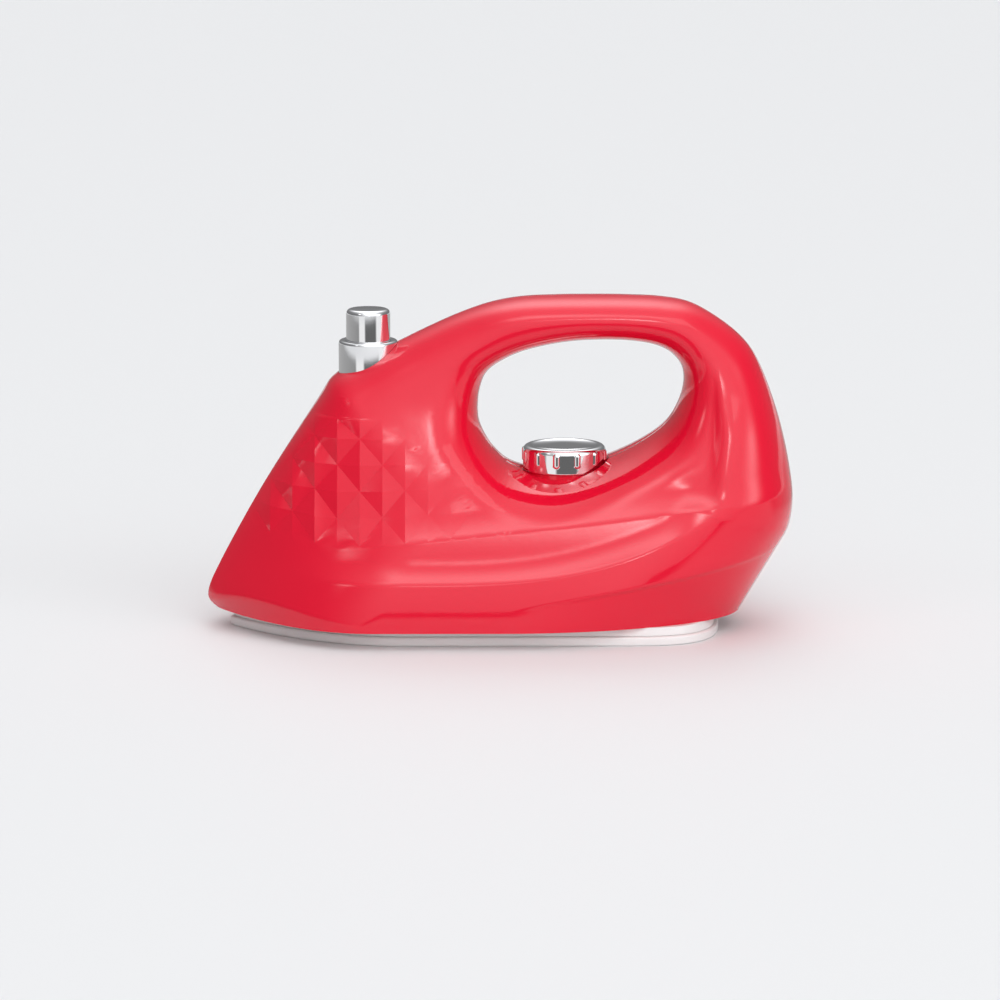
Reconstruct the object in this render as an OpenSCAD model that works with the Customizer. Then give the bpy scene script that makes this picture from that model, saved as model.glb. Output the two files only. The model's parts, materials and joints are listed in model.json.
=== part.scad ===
// Toy iron: two red half shells with a handle opening, a white stepped sole with a battery box,
// a sprung chrome push button, a chrome click dial and a small vibrating motor.
// X runs from the nose (minus) to the heel (plus), Z is up from the table, Y = 0 is the parting plane.

/* [Body] */
// Length of the body from the nose to the heel
body_l = 166.5; // [150:0.5:185]
// Height of the body from the table to the top of the handle
body_h = 95; // [88:0.5:105]
// Width of the body at its base
base_w = 77; // [72:0.5:86]
// Width of the handle
handle_w = 26; // [24:0.5:30]
// Wall of the half shells
wall = 2; // [1.6:0.1:2.6]
// Height of the shells' lower edge above the table
base_z = 5; // [4:0.5:7]
// Step of the flank above the long crease
crease_step = 2; // [1:0.1:3.5]
// Inward lean of the heel below its overhanging edge
heel_lean = 0.42; // [0.2:0.02:0.5]

/* [Nose facets] */
// Width of one diamond
facet_w = 12.8; // [10:0.1:16]
// Height of one diamond, fitted to whole rows
facet_h = 14.4; // [11:0.1:18]
// Height of a diamond's point above its corners
facet_relief = 0.9; // [0.4:0.1:1.2]

/* [Sole] */
// Length of the sole
sole_l = 139; // [130:0.5:145]
// Distance from the nose to the tip of the sole
sole_back = 6.5; // [5:0.5:10]
// Greatest width of the sole
sole_w = 64; // [58:0.5:68]
// Thickness of the sole's lower lip
lip_t = 2.6; // [2:0.1:3.5]
// How far the lip stands out from the band above it
lip_step = 1.5; // [0.8:0.1:2.5]
// Thickness of the plate that closes the shells
plate_t = 2.4; // [2:0.1:3.2]

/* [Battery box] */
// Diameter of a cell
cell_d = 14.2; // [14:0.1:14.5]
// Length of a cell without its contact button
cell_l = 49.2; // [48:0.1:50.5]
// Wall of the battery box
box_wall = 1.6; // [1.2:0.1:2.4]
// Share of the free room between the motor and the heel that lies ahead of the battery box
box_share = 0.4; // [0.3:0.05:0.5]
// Thickness of the battery door
door_t = 2; // [1.6:0.1:2.4]

/* [Button] */
// Distance from the nose to the axis of the button
button_back = 46; // [44:0.5:52]
// Diameter of the button cap
cap_d = 12.5; // [11:0.1:13]
// Height of the cap above its collar
cap_h = 9; // [7:0.1:11]
// Outer diameter of the collar
collar_d = 16.8; // [16:0.1:18]
// Travel of the button
button_travel = 3; // [2:0.1:3.5]

/* [Dial] */
// Distance from the nose to the axis of the dial
dial_back = 101.6; // [98:0.2:106]
// Diameter of the dial
dial_d = 24.5; // [22:0.1:26]
// Height of the dial
dial_h = 7; // [6:0.1:9]
// Number of ribs on the dial, and of teeth on its click wheel
dial_ribs = 12; // [8:1:16]
// Diameter of the dial's spindle
spindle_d = 6; // [5:0.1:7]

/* [Motor] */
// Diameter of the motor
motor_d = 20; // [18:0.1:21]
// Length of the motor
motor_l = 25; // [22:0.1:27]
// Distance from the nose to the front of the motor
motor_back = 38; // [36:0.5:42]
// Radius of the off-centre weight
weight_r = 7.5; // [6:0.1:8]

/* [Fits] */
// Running clearance of a shaft or slide, on the radius
run = 0.05; // [0.03:0.01:0.09]
// Clearance between pieces that are put together
gap = 0.2; // [0.1:0.05:0.3]
// Diameter of the self-tapping screws
screw_d = 2.8; // [2.4:0.1:3]

/* [Hidden] */
$fn = 48;

// Colours
red = [0.86, 0.1, 0.16];
white = [0.95, 0.94, 0.93];
chrome = [0.8, 0.8, 0.82];
steel = [0.62, 0.63, 0.65];
brass = [0.78, 0.62, 0.3];
green = [0.1, 0.36, 0.2];
black = [0.08, 0.08, 0.09];

// The side outline is drawn for this length and height and follows the driving sizes
drawn = [166.5, 95];
kx = body_l / drawn[0];
kz = body_h / drawn[1];
nose_x = -body_l / 2;
function place(p) = [p[0] * kx, p[1] * kz];

// Side outline from the foot of the nose over the handle to the foot of the heel
nose_foot = [-80.5 * kx, base_z];
heel_foot = [68.5 * kx, base_z];
heel_edge = [79.8 * kx, 24.3 * kz];
outline_rest = [[-83.2, 9], [-79.5, 18.5], [-66.7, 41.7], [-51.9, 64.8], [-46.8, 72.2], [-37.5, 77.2],
    [-28.3, 81.9], [-19.8, 86.1], [-11.2, 89.9], [-2.7, 92.8], [6, 94.4], [16, 94.9], [26, 95],
    [36, 94.9], [45.7, 94.4], [54.2, 92.7], [62.8, 87.8], [69.3, 82.2], [73.4, 76], [77.8, 64.8],
    [81, 53.2], [83, 42], [83.3, 35.5], [82.3, 29]];
outline_keys = concat([nose_foot], [for (p = outline_rest) place(p)], [heel_edge], [heel_foot]);

// Handle opening, from its lowest point clockwise as the left flank is seen
opening_keys = [for (p = [[15, 44.4], [4.7, 46], [-1.3, 50.6], [-5.3, 57.4], [-6.2, 63], [-5.4, 69.4],
    [-2.8, 74.2], [4.2, 78.4], [12.6, 80.9], [23, 82.4], [36, 82.4], [45.4, 80.6], [50.6, 76.6],
    [52.2, 71.4], [50.8, 64.6], [46.4, 57.6], [37, 51.2], [26, 46.5]]) place(p)];
centre = [22 * kx, 63 * kz];

// Smooth curve through a list of points, with some points added between each pair
function between(a, b, c, d, t) = 0.5 * (2 * b + (c - a) * t + (2 * a - 5 * b + 4 * c - d) * t * t
    + (3 * b - a - 3 * c + d) * t * t * t);
function at(list, i, closed) = let (n = len(list))
    closed ? list[(i + n) % n] : list[max(0, min(n - 1, i))];
function curve(keys, steps, closed) = [for (i = [0 : len(keys) - (closed ? 1 : 2)], k = [0 : steps - 1])
    between(at(keys, i - 1, closed), keys[i], at(keys, i + 1, closed), at(keys, i + 2, closed), k / steps)];
curve_steps = 3;
outline_top = curve([for (i = [0 : len(outline_keys) - 2]) outline_keys[i]], curve_steps, false);
outline = concat(outline_top, [heel_edge, heel_foot]);
opening = curve(opening_keys, curve_steps, true);

// Distance from a point to an open or closed row of points
function clamp01(v) = max(0, min(1, v));
function to_segment(p, a, b) = norm(p - a - (b - a) * clamp01((p - a) * (b - a) / ((b - a) * (b - a))));
function to_outline(p) = min([for (i = [0 : len(outline) - 2]) to_segment(p, outline[i], outline[i + 1])]);
function to_opening(p) = min([for (i = [0 : len(opening) - 1])
    to_segment(p, opening[i], opening[(i + 1) % len(opening)])]);

// Distance along a ray from the centre to a row of points
function cross2(a, b) = a[0] * b[1] - a[1] * b[0];
function ray_to_segment(u, a, b) = let (e = b - a, n = cross2(u, e), s = cross2(a - centre, u) / n)
    s >= -0.0001 && s <= 1.0001 ? cross2(a - centre, e) / n : 0;
function ray_to_row(u, row) = max([for (i = [0 : len(row) - 2]) ray_to_segment(u, row[i], row[i + 1])]);

// Row of points moved sideways, to the right of its direction for plus; the feet move more, as they lean
foot_inset = 1.4;
function side_of(a, b) = let (e = b - a) [e[1], -e[0]] / norm(e);
function shift_row(row, by, closed) = [for (i = [0 : len(row) - 1])
    row[i] + by * side_of(at(row, i - 1, closed), at(row, i + 1, closed))];
function inset_outline(by) = by == 0 ? outline : let (
        moved = shift_row(outline, by, false),
        n = len(outline))
    concat([[nose_foot[0] + foot_inset * by, base_z]], [for (i = [1 : n - 2]) moved[i]],
        [[heel_foot[0] - foot_inset * by, base_z]]);
function inset_opening(by) = by == 0 ? opening : shift_row(opening, -by, true);

// Heights of the creases on the flank
function line_a(x) = (27.5 + (x > -45 ? 0.105 * (x + 45) : -0.15 * (x + 45))) * kz;
function line_c(x) = (18.5 + (x > -20 ? 10.2 * pow((x + 20) / 65, 2.7) : 0)) * kz;
function line_d(x) = (12 + 0.17 * (x - 5)) * kz;
function ease(v) = let (c = clamp01(v)) c * c * (3 - 2 * c);
function shoulder(v) = let (c = clamp01(v)) 1 - (1 - c) * (1 - c);

// Half width of the body before its edges are rounded
shoulder_h = 7;
panel_step = 1.2;
bulge_h = 83 * kz;
function flank(x, z) = let (
        upper = handle_w / 2 + crease_step + panel_step,
        low = upper + (base_w / 2 - upper) * (1 + cos(180 * clamp01((z - base_z) / bulge_h))) / 2,
        c = crease_step * ease((x + 62) / 25) * shoulder((z - line_c(x)) / shoulder_h),
        a = panel_step * shoulder((z - line_a(x)) / shoulder_h),
        d = heel_lean * ease((x - 2) / 45) * max(0, line_d(x) - z))
    low - c - a - d;

// Rounding round the body: direction from the centre, outer depth, share of a straight bow, inner depth;
// between two directions the values run smoothly
rounding = [[0, 12, 0, 9], [25, 10, 0, 8], [50, 6.6, 0, 6.2], [125, 6.6, 0, 6.2], [145, 8.6, 0, 7.4],
    [160, 9.2, 0, 9.4], [170, 9.4, 0, 11], [178, 12.5, 0.06, 12], [186, 21, 0.35, 12],
    [195, 33, 0.75, 11.5], [208, 44, 1, 10], [300, 38, 0.2, 8], [326, 36, 0, 9], [340, 22, 0, 10],
    [360, 12, 0, 9]];
function rounding_slope(i, column) = let (
        n = len(rounding) - 1,
        a = rounding[(i + n - 1) % n],
        b = rounding[i % n + 1],
        l = b[0] - a[0])
    (b[column] - a[column]) / (l < 0 ? l + 360 : l);
function rounding_at(angle, column) = let (
        i = max([for (k = [0 : len(rounding) - 2]) if (rounding[k][0] <= angle) k]),
        a = rounding[i],
        b = rounding[i + 1],
        l = b[0] - a[0],
        t = (angle - a[0]) / l,
        u = 1 - t)
    a[column] * (1 + 2 * t) * u * u + b[column] * (3 - 2 * t) * t * t
        + l * t * u * (u * rounding_slope(i, column) - t * rounding_slope(i + 1, column));
function bearing(p) = let (d = p - centre, a = atan2(d[1], d[0])) a < 0 ? a + 360 : a;
arch_soft = 1.35;
function arch(v) = sqrt(1 - pow(1 - clamp01(v / arch_soft), 3));
function bow(v) = pow(sin(90 * clamp01(v)), 0.85);
function half_width(x, z, inset = 0) = let (
        p = [x, z],
        turn = bearing(p),
        share = rounding_at(turn, 2),
        out = max(0, to_outline(p) - inset) / (rounding_at(turn, 1) * kx - inset),
        inn = max(0, to_opening(p) - inset) / (rounding_at(turn, 3) * kx - inset))
    (flank(x / kx, z) - inset) * ((1 - share) * arch(out) + share * bow(out)) * arch(inn);

// Directions of the profiles: each sector runs between two directions in a number of steps
nose_turn = bearing(nose_foot);
heel_turn = bearing(heel_foot);
edge_turn = bearing(heel_edge);
sectors = [[0, 30, 5], [30, 60, 7], [60, 120, 8], [120, 160, 8], [160, 195, 7], [195, nose_turn, 6],
    [nose_turn, 216, 7], [216, 240, 5], [240, 285, 7], [285, 300, 3], [300, heel_turn, 5],
    [heel_turn, edge_turn, 5], [edge_turn, 360, 6]];
turns = [for (s = sectors, k = [0 : s[2] - 1]) s[0] + (s[1] - s[0]) * k / s[2]];
stations = len(turns);
function on_base(k) = turns[k] > nose_turn + 0.001 && turns[k] < heel_turn - 0.001;

// Where a profile crosses a crease, found by halving
function crossing(u, lo, hi, which, n = 14) = n == 0 ? (lo + hi) / 2 : let (
        mid = (lo + hi) / 2,
        p = centre + mid * u,
        x = p[0] / kx,
        line = which == 0 ? line_a(x) : which == 1 ? line_c(x) : line_d(x))
    p[1] > line ? crossing(u, mid, hi, which, n - 1) : crossing(u, lo, mid, which, n - 1);

// Points of one profile from the opening to the outline or the base
spans = [7, 3, 3, 3];
function profile_radii(u, r0, r1) = let (
        l = r1 - r0,
        a = max(r0 + 0.3 * l, min(r0 + 0.6 * l, crossing(u, r0, r1, 0))),
        c = max(a + 0.08 * l, min(r0 + 0.85 * l, crossing(u, r0, r1, 1))),
        d = max(c + 0.06 * l, min(r0 + 0.96 * l, crossing(u, r0, r1, 2))))
    concat([for (k = [0 : spans[0] - 1]) r0 + (a - r0) * pow(k / spans[0], 2)],
        [for (k = [0 : spans[1] - 1]) a + (c - a) * k / spans[1]],
        [for (k = [0 : spans[2] - 1]) c + (d - c) * k / spans[2]],
        [for (k = [0 : spans[3]]) r1 - (r1 - d) * pow(1 - k / spans[3], 2)]);
function inner_radii(r0, r1) = [for (v = [0, 0.03, 0.15, 0.35, 0.6, 0.85, 0.97, 1]) r0 + (r1 - r0) * v];

// Grid of points of the skin that lies some way inside the outer one
function skin(inset, coarse) = let (
        rim = inset_opening(inset),
        loop = concat(rim, [rim[0]]),
        row = inset_outline(inset),
        foot = [row[0], row[len(row) - 1]],
        full = concat(row, [row[0]]),
        turn_a = bearing(foot[0]),
        turn_b = bearing(foot[1]))
    [for (k = [0 : stations - 1]) let (
            s = turns[k],
            turn = s <= nose_turn ? s * turn_a / nose_turn
                : s < heel_turn ? turn_a + (s - nose_turn) * (turn_b - turn_a) / (heel_turn - nose_turn)
                : turn_b + (s - heel_turn) * (360 - turn_b) / (360 - heel_turn),
            u = [cos(turn), sin(turn)],
            r0 = ray_to_row(u, loop),
            r1 = ray_to_row(u, full),
            radii = coarse ? inner_radii(r0, r1) : profile_radii(u, r0, r1),
            n = len(radii) - 1)
        [for (i = [0 : n]) let (
                p = centre + radii[i] * u,
                edge = i == 0 || (i == n && !on_base(k)))
            [p[0], edge ? 0 : half_width(p[0], p[1], inset), i == n && on_base(k) ? base_z : p[1]]]];

// One list from a list of lists
function flat(lists) = [for (l = lists, v = l) v];

// One half shell, on the plus Y side
module shell() {
    outer = skin(0, false);
    inner = skin(wall, true);
    no = len(outer[0]);
    ni = len(inner[0]);
    first = stations * no;
    function o(k, i) = (k % stations) * no + i;
    function n(k, i) = first + (k % stations) * ni + i;
    function quad(a, b, c, d) = [[a, b, c], [a, c, d]];
    faces = concat(
        [for (k = [0 : stations - 1], i = [0 : no - 2])
            quad(o(k, i), o(k, i + 1), o(k + 1, i + 1), o(k + 1, i))],
        [for (k = [0 : stations - 1], i = [0 : ni - 2])
            quad(n(k, i), n(k + 1, i), n(k + 1, i + 1), n(k, i + 1))],
        [for (k = [0 : stations - 1]) quad(o(k, 0), o(k + 1, 0), n(k + 1, 0), n(k, 0))],
        [for (k = [0 : stations - 1])
            quad(o(k, no - 1), n(k, ni - 1), n(k + 1, ni - 1), o(k + 1, no - 1))]);
    polyhedron(points = concat(flat(outer), flat(inner)), faces = flat(faces), convexity = 8);
}

// Solid half body that lies some way inside the outer skin, used to trim what is moulded inside
module core(inset) {
    grid = skin(inset, true);
    n = len(grid[0]);
    first = stations * n;
    feet = [for (k = [0 : stations - 1]) if (on_base(k)) [grid[k][n - 1][0], 0, base_z]];
    lead = len([for (k = [0 : stations - 1]) if (turns[k] <= nose_turn + 0.001) k]);
    function g(k, i) = (k % stations) * n + i;
    function m(k) = on_base(k % stations) ? first + (k % stations) - lead : g(k, n - 1);
    function quad(a, b, c, d) = [for (f = [[a, b, c], [a, c, d]])
        if (f[0] != f[1] && f[1] != f[2] && f[0] != f[2]) f];
    faces = concat(
        [for (k = [0 : stations - 1], i = [0 : n - 2])
            quad(g(k, i), g(k, i + 1), g(k + 1, i + 1), g(k + 1, i))],
        [for (k = [0 : stations - 1]) quad(g(k, n - 1), m(k), m(k + 1), g(k + 1, n - 1))],
        [for (k = [0 : stations - 1]) quad(m(k), g(k, 0), g(k + 1, 0), m(k + 1))]);
    polyhedron(points = concat(flat(grid), feet), faces = flat(faces), convexity = 8);
}

// Lattice of the nose panel: even nodes are corners on the skin, odd ones are points that stand out
facet_x = -39.5 * kx;
facet_top = 62.3 * kz;
facet_short = 0.75;
facet_rows = 1 + round(2 * (facet_top - line_a(facet_x / kx)) / facet_h - facet_short);
facet_first = -ceil(45 * kx / (facet_w / 2));
facet_last = round(38.4 * kx / (facet_w / 2));
facet_margin = 0.6;
facet_lift = 0.35;
facet_sink = 0.6 * wall;
facet_columns = facet_last - facet_first + 1;
function facet_row(j) = min(j, facet_rows - 1 + facet_short);
function facet_spot(i, j) = let (x = facet_x + i * facet_w / 2, foot = line_a(x / kx))
    [x, foot + (facet_top - foot) * facet_row(j) / facet_row(facet_rows)];
function facet_room(p) = let (d = p - centre, l = norm(d))
    l < ray_to_row(d / l, outline) ? to_outline(p) : 0;
facet_use = [for (i = [facet_first : facet_last]) [for (j = [0 : facet_rows])
    i + j <= facet_last && facet_room(facet_spot(i, j)) > facet_margin]];
function facet_used(i, j) = j < 0 || j > facet_rows
    || (i >= facet_first && i <= facet_last && facet_use[i - facet_first][j]);
function facet_inner(i, j) = facet_used(i - 1, j) && facet_used(i + 1, j) && facet_used(i, j - 1)
    && facet_used(i, j + 1);

// The points are lower towards the handle, and none stands out along the border
facet_fade = 0.72;
facet_fade_x = -40;
facet_fade_l = 22;
function facet_rise(i, j, x) = (i + j) % 2 == 0 || j == 0 || !facet_inner(i, j) ? 0
    : facet_relief * (1 - facet_fade * ease((x / kx - facet_fade_x) / facet_fade_l));

// Faceted panel of one half, on the plus Y side, sunk into the wall behind it
module facets() {
    rows = facet_rows + 1;
    half = facet_columns * rows;
    function at_node(n) = (n[0] - facet_first) * rows + n[1];
    function used(n) = facet_used(n[0], n[1]);
    cells = [for (i = [facet_first : facet_last - 1], j = [0 : facet_rows - 1]) let (
            a = [i, j],
            b = [i + 1, j],
            c = [i + 1, j + 1],
            d = [i, j + 1])
        each (i + j) % 2 == 0 ? [[a, b, c], [a, c, d]] : [[a, b, d], [b, c, d]]];
    kept = [for (t = cells) if (used(t[0]) && used(t[1]) && used(t[2])) [for (n = t) at_node(n)]];
    edges = [for (t = kept, k = [0 : 2]) [t[k], t[(k + 1) % 3]]];
    rim = [for (e = edges) if (len([for (f = edges) if (f[0] == e[1] && f[1] == e[0]) f]) == 0) e];
    function node_at(i, j, up) = let (
            p = facet_spot(i, j),
            w = facet_room(p) > 0 ? half_width(p[0], p[1]) : 0)
        [p[0], up ? w + facet_lift + facet_rise(i, j, p[0]) : w - facet_sink, p[1]];
    points = [for (up = [true, false], i = [facet_first : facet_last], j = [0 : facet_rows])
        node_at(i, j, up)];
    polyhedron(points = points, convexity = 6, faces = concat(kept,
        [for (t = kept) [t[2] + half, t[1] + half, t[0] + half]],
        [for (e = rim) each [[e[1], e[0], e[0] + half], [e[1], e[0] + half, e[1] + half]]]));
}

// Height of the outline and of the opening's floor at a place along the body
function crossings(row, x) = [for (i = [0 : len(row) - 2]) let (a = row[i], b = row[i + 1])
    if ((a[0] - x) * (b[0] - x) <= 0 && a[0] != b[0]) a[1] + (b[1] - a[1]) * (x - a[0]) / (b[0] - a[0])];
function top_z(x) = max(crossings(outline, x));
function floor_z(x) = min(crossings(concat(opening, [opening[0]]), x));

// Screws: head, boss and clearances
head_r = screw_d;
head_t = 2;
boss_r = screw_d / 2 + 2.8;
pilot_r = screw_d / 2 + run;
free_r = screw_d / 2 + gap;
sink_r = head_r + gap;
screw_spots = [for (p = [[-64, 17], [-20.5, 66], [66.5, 60], [64, 31]]) place(p)];
seat_y = 8;
body_screw_l = 20;
sole_boss_r = screw_d / 2 + 2;
sole_boss_top = 21 * kz;
sole_head_z = lip_t;
sole_screw_l = 15;
rib_t = 2;

// Button, from its collar's top down
button_x = nose_x + button_back;
collar_proud = 0.6;
collar_top = top_z(button_x + collar_d / 2) + collar_proud;
lip_h = 3.5;
collar_l = 16;
collar_z = collar_top - collar_l;
collar_flange_r = collar_d / 2 + 0.8;
collar_flange_t = 1.6;
cap_r = cap_d / 2;
cap_top = collar_top + cap_h;
cap_flange_r = cap_r + 0.9;
cap_flange_t = 1.6;
cap_flange_z = collar_top - lip_h - gap / 2 - cap_flange_t;
stem_r = 2.5;
stem_gap = 0.4;
web_t = 1.8;
shelf_reach = 24;
shelf_rim = 1.5;
stem_out = 4.5;
shelf_z = collar_z - gap / 2;
stem_z = shelf_z - web_t - stem_out;
spring_wire = 0.8;
spring_r = 4.2;
spring_turns = 5;

// Switch below the stem
plunger_w = 3.2;
switch_w = 8;
switch_h = 7;
plunger_out = 3.2;
switch_z = stem_z - plunger_out - switch_h;
board_t = 1.6;
board_l = 22;
board_w = 15;
board_z = switch_z - board_t;
board_rest = 3;

// Dial and its click wheel
dial_x = nose_x + dial_back;
dial_r = dial_d / 2;
seat_z = floor_z(dial_x) + 0.2;
plinth_r = dial_r - 1;
pad_r = dial_r + 2.5;
pad_t = 8;
pad_z = seat_z - pad_t;
dial_z = seat_z + gap / 2;
spindle_r = spindle_d / 2;
tip_w = spindle_d * 0.55;
wheel_r = 8;
wheel_t = 3;
wheel_z = pad_z - gap - wheel_t;
tooth_h = 0.8;
dial_bite = 0.4;
leaf_t = 0.4;
leaf_l = 22;

// Sole, plate and battery box
plate_top = base_z + plate_t;
plate_gap = 1.3;
sole_x0 = nose_x + sole_back;
sole_x1 = sole_x0 + sole_l;
sole_bow = 48;
sole_heel = 26;
contact_t = 0.5;
button_l = 1.3;
coil_l = 5.2;
box_in_l = cell_l + button_l + coil_l + 2 * contact_t;
box_in_w = 2 * cell_d + 1.6;
box_l = box_in_l + 2 * box_wall;
motor_x = nose_x + motor_back;
box_room = heel_foot[0] - foot_inset * wall - motor_x - motor_l - box_l;
box_x0 = motor_x + motor_l + box_share * box_room;
door_z = 0.5;
ledge = 2;
door_head = 1.2;
door_seat = door_z + door_t - 0.6;
door_screw_l = 5;
screw_end = 8;
tongue_w = 6;
tongue_l = 1.8;
tongue_y = 9;
cell_y = cell_d / 2 + 0.3;
cell_z = door_z + door_t + 0.3 + cell_d / 2;
box_in_top = cell_z + cell_d / 2 + 0.3;
box_x = box_x0 + box_wall;
door_screw_x = box_x0 - screw_end / 2;

// Motor, its cradle and its weight
motor_flat = motor_d * 0.75;
cradle_h = 2;
motor_z = plate_top + cradle_h + motor_flat / 2;
motor_top = motor_z + motor_flat / 2;
post_y = motor_d / 2 + 5;
clamp_x = motor_x + motor_l / 2;
clamp_t = 1.6;
clamp_w = 8;
clamp_screw_l = 9;
shaft_r = 1;
shaft_in = 8;
weight_t = 6;
weight_x = motor_x - 3 - weight_t;

// Screws from below: in line with the motor's posts and beside the battery door
door_rim = 0.5;
sole_spots = [[-53 * kx, post_y], [48 * kx, box_in_w / 2 + ledge + sink_r + door_rim]];

// Straight cylinder between two heights, turned so that its seam is clear of the parting plane
seam = 33;
module upright(r, z0, z1) {
    translate([0, 0, z0]) rotate(seam) cylinder(r = r, h = z1 - z0);
}

// Cylinder along Y between two places
module across(r, y0, y1) {
    translate([0, y0, 0]) rotate([-90, seam, 0]) cylinder(r = r, h = y1 - y0);
}

// Pan head screw that points up, with its head's lower face at zero
module screw(l, head = head_t) {
    difference() {
        union() {
            cylinder(r = head_r, h = head);
            cylinder(r = screw_d / 2, h = head + l);
        }
        for (turn = [0, 90]) {
            rotate(turn) translate([-head_r * 0.6, -0.35, -1]) cube([head_r * 1.2, 0.7, 1 + head / 2]);
        }
    }
}

// Coil of round wire between two heights, as one unbroken tube of six sides
rings_per_turn = 8;
module coil(r, wire, turns, l) {
    rings = turns * rings_per_turn;
    rise = (l - wire) / rings;
    points = [for (k = [0 : rings], s = [0 : 5]) let (a = 360 * k / rings_per_turn, b = 60 * s,
        q = r + wire / 2 * cos(b)) [q * cos(a), q * sin(a), wire / 2 + rise * k + wire / 2 * sin(b)]];
    sides = [for (k = [0 : rings - 1], s = [0 : 5]) let (a = k * 6 + s, b = k * 6 + (s + 1) % 6)
        each [[a, a + 6, b], [b, a + 6, b + 6]]];
    last = rings * 6;
    ends = [for (s = [1 : 4]) each [[0, s, s + 1], [last, last + s + 1, last + s]]];
    echo(coil_gap = rise * rings_per_turn - wire);
    polyhedron(points = points, faces = concat(sides, ends), convexity = 10);
}

// What is moulded inside a half shell: screw bosses, ribs, button shelves and the dial's pad
module fittings() {
    intersection() {
        union() {
            for (p = screw_spots) {
                translate([p[0], 0, p[1]]) across(boss_r, 0, base_w);
            }
            for (p = sole_spots) {
                translate([p[0], p[1], 0]) upright(sole_boss_r, plate_top, sole_boss_top);
                translate([p[0] - rib_t / 2, p[1], plate_top])
                    cube([rib_t, base_w, sole_boss_top - plate_top]);
            }
            button_shelf(shelf_z - web_t, 0);
            button_shelf(collar_z + collar_flange_t + gap / 2, 0);
            button_shelf(board_z - web_t, board_rest);
            translate([dial_x, 0, 0]) upright(pad_r, pad_z, seat_z + pad_t);
        }
        core(0.6 * wall);
    }
}

// Level shelf round the button's axis, up to the walls
module button_shelf(z, from_y) {
    translate([button_x - shelf_reach, from_y, z])
        cube([shelf_reach + collar_flange_r + shelf_rim, base_w, web_t]);
}

// Holes of both half shells on their shared axes
module shell_holes() {
    translate([button_x, 0, 0]) {
        upright(collar_d / 2 + gap / 2, collar_z + collar_flange_t, body_h);
        upright(collar_flange_r + gap, collar_z - gap / 2, collar_z + collar_flange_t + gap / 2);
        upright(stem_r + stem_gap, stem_z, collar_z + 1);
    }
    translate([dial_x, 0, 0]) {
        upright(spindle_r + run, pad_z - 1, seat_z + 1);
        upright(dial_r + 0.5, seat_z, seat_z + 2 * dial_h);
    }
    for (p = sole_spots) {
        translate([p[0], p[1], 0]) upright(pilot_r, plate_top - 1, sole_head_z + sole_screw_l + 0.5);
    }
}

module body_half() {
    difference() {
        union() {
            shell();
            facets();
            fittings();
            intersection() {
                translate([dial_x, 0, 0]) upright(plinth_r, pad_z, seat_z);
                translate([dial_x - dial_r, 0, 0]) cube([dial_d, dial_d, body_h]);
            }
        }
        shell_holes();
        children();
    }
}

// Far half, with the recessed screw holes
module body_right() {
    color(red) body_half() {
        for (p = screw_spots) {
            translate([p[0], 0, p[1]]) {
                across(free_r, -1, seat_y + 1);
                across(sink_r, seat_y, base_w);
            }
        }
    }
}

// Near half, with the blind screw bosses
module body_left() {
    color(red) mirror([0, 1, 0]) body_half() {
        for (p = screw_spots) {
            translate([p[0], 0, p[1]]) across(pilot_r, -1, body_screw_l - seat_y + 0.5);
        }
    }
}

module body_screws() {
    color(steel) for (p = screw_spots) {
        translate([p[0], seat_y + head_t, p[1]]) rotate([90, 0, 0]) screw(body_screw_l);
    }
}

// Half width of the sole, and its outline some way in from the lip's edge
function sole_half(x, in) = (sole_w / 2 - in) * pow(sin(90 * clamp01((x - sole_x0 - in) / sole_bow)), 0.8)
    * pow(1 - pow(1 - clamp01((sole_x1 - in - x) / sole_heel), 3), 1 / 3);
plan_steps = 30;
function spread(a, b) = [for (k = [0 : plan_steps]) a + (b - a) * (1 - cos(180 * k / plan_steps)) / 2];
function both_sides(points) = concat(points,
    [for (i = [len(points) - 2 : -1 : 1]) [points[i][0], -points[i][1]]]);
module sole_layer(in, z0, z1) {
    translate([0, 0, z0]) linear_extrude(z1 - z0)
        polygon(both_sides([for (x = spread(sole_x0 + in, sole_x1 - in)) [x, sole_half(x, in)]]));
}

// Plate that closes the shells from below
module closing_plate() {
    in = wall + plate_gap;
    translate([0, 0, base_z]) linear_extrude(plate_t)
        polygon(both_sides([for (x = spread(nose_foot[0] + foot_inset * in, heel_foot[0] - foot_inset * in))
            [x, half_width(x, base_z, in)]]));
}

// Motor can with two flats, grown by a clearance
module motor_can(grow) {
    intersection() {
        translate([motor_x - grow, 0, motor_z]) rotate([0, 90, 0])
            cylinder(r = motor_d / 2 + grow, h = motor_l + 2 * grow);
        translate([motor_x - 1, -motor_d, motor_z - motor_flat / 2 - grow])
            cube([motor_l + 2, 2 * motor_d, motor_flat + 2 * grow]);
    }
}

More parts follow.
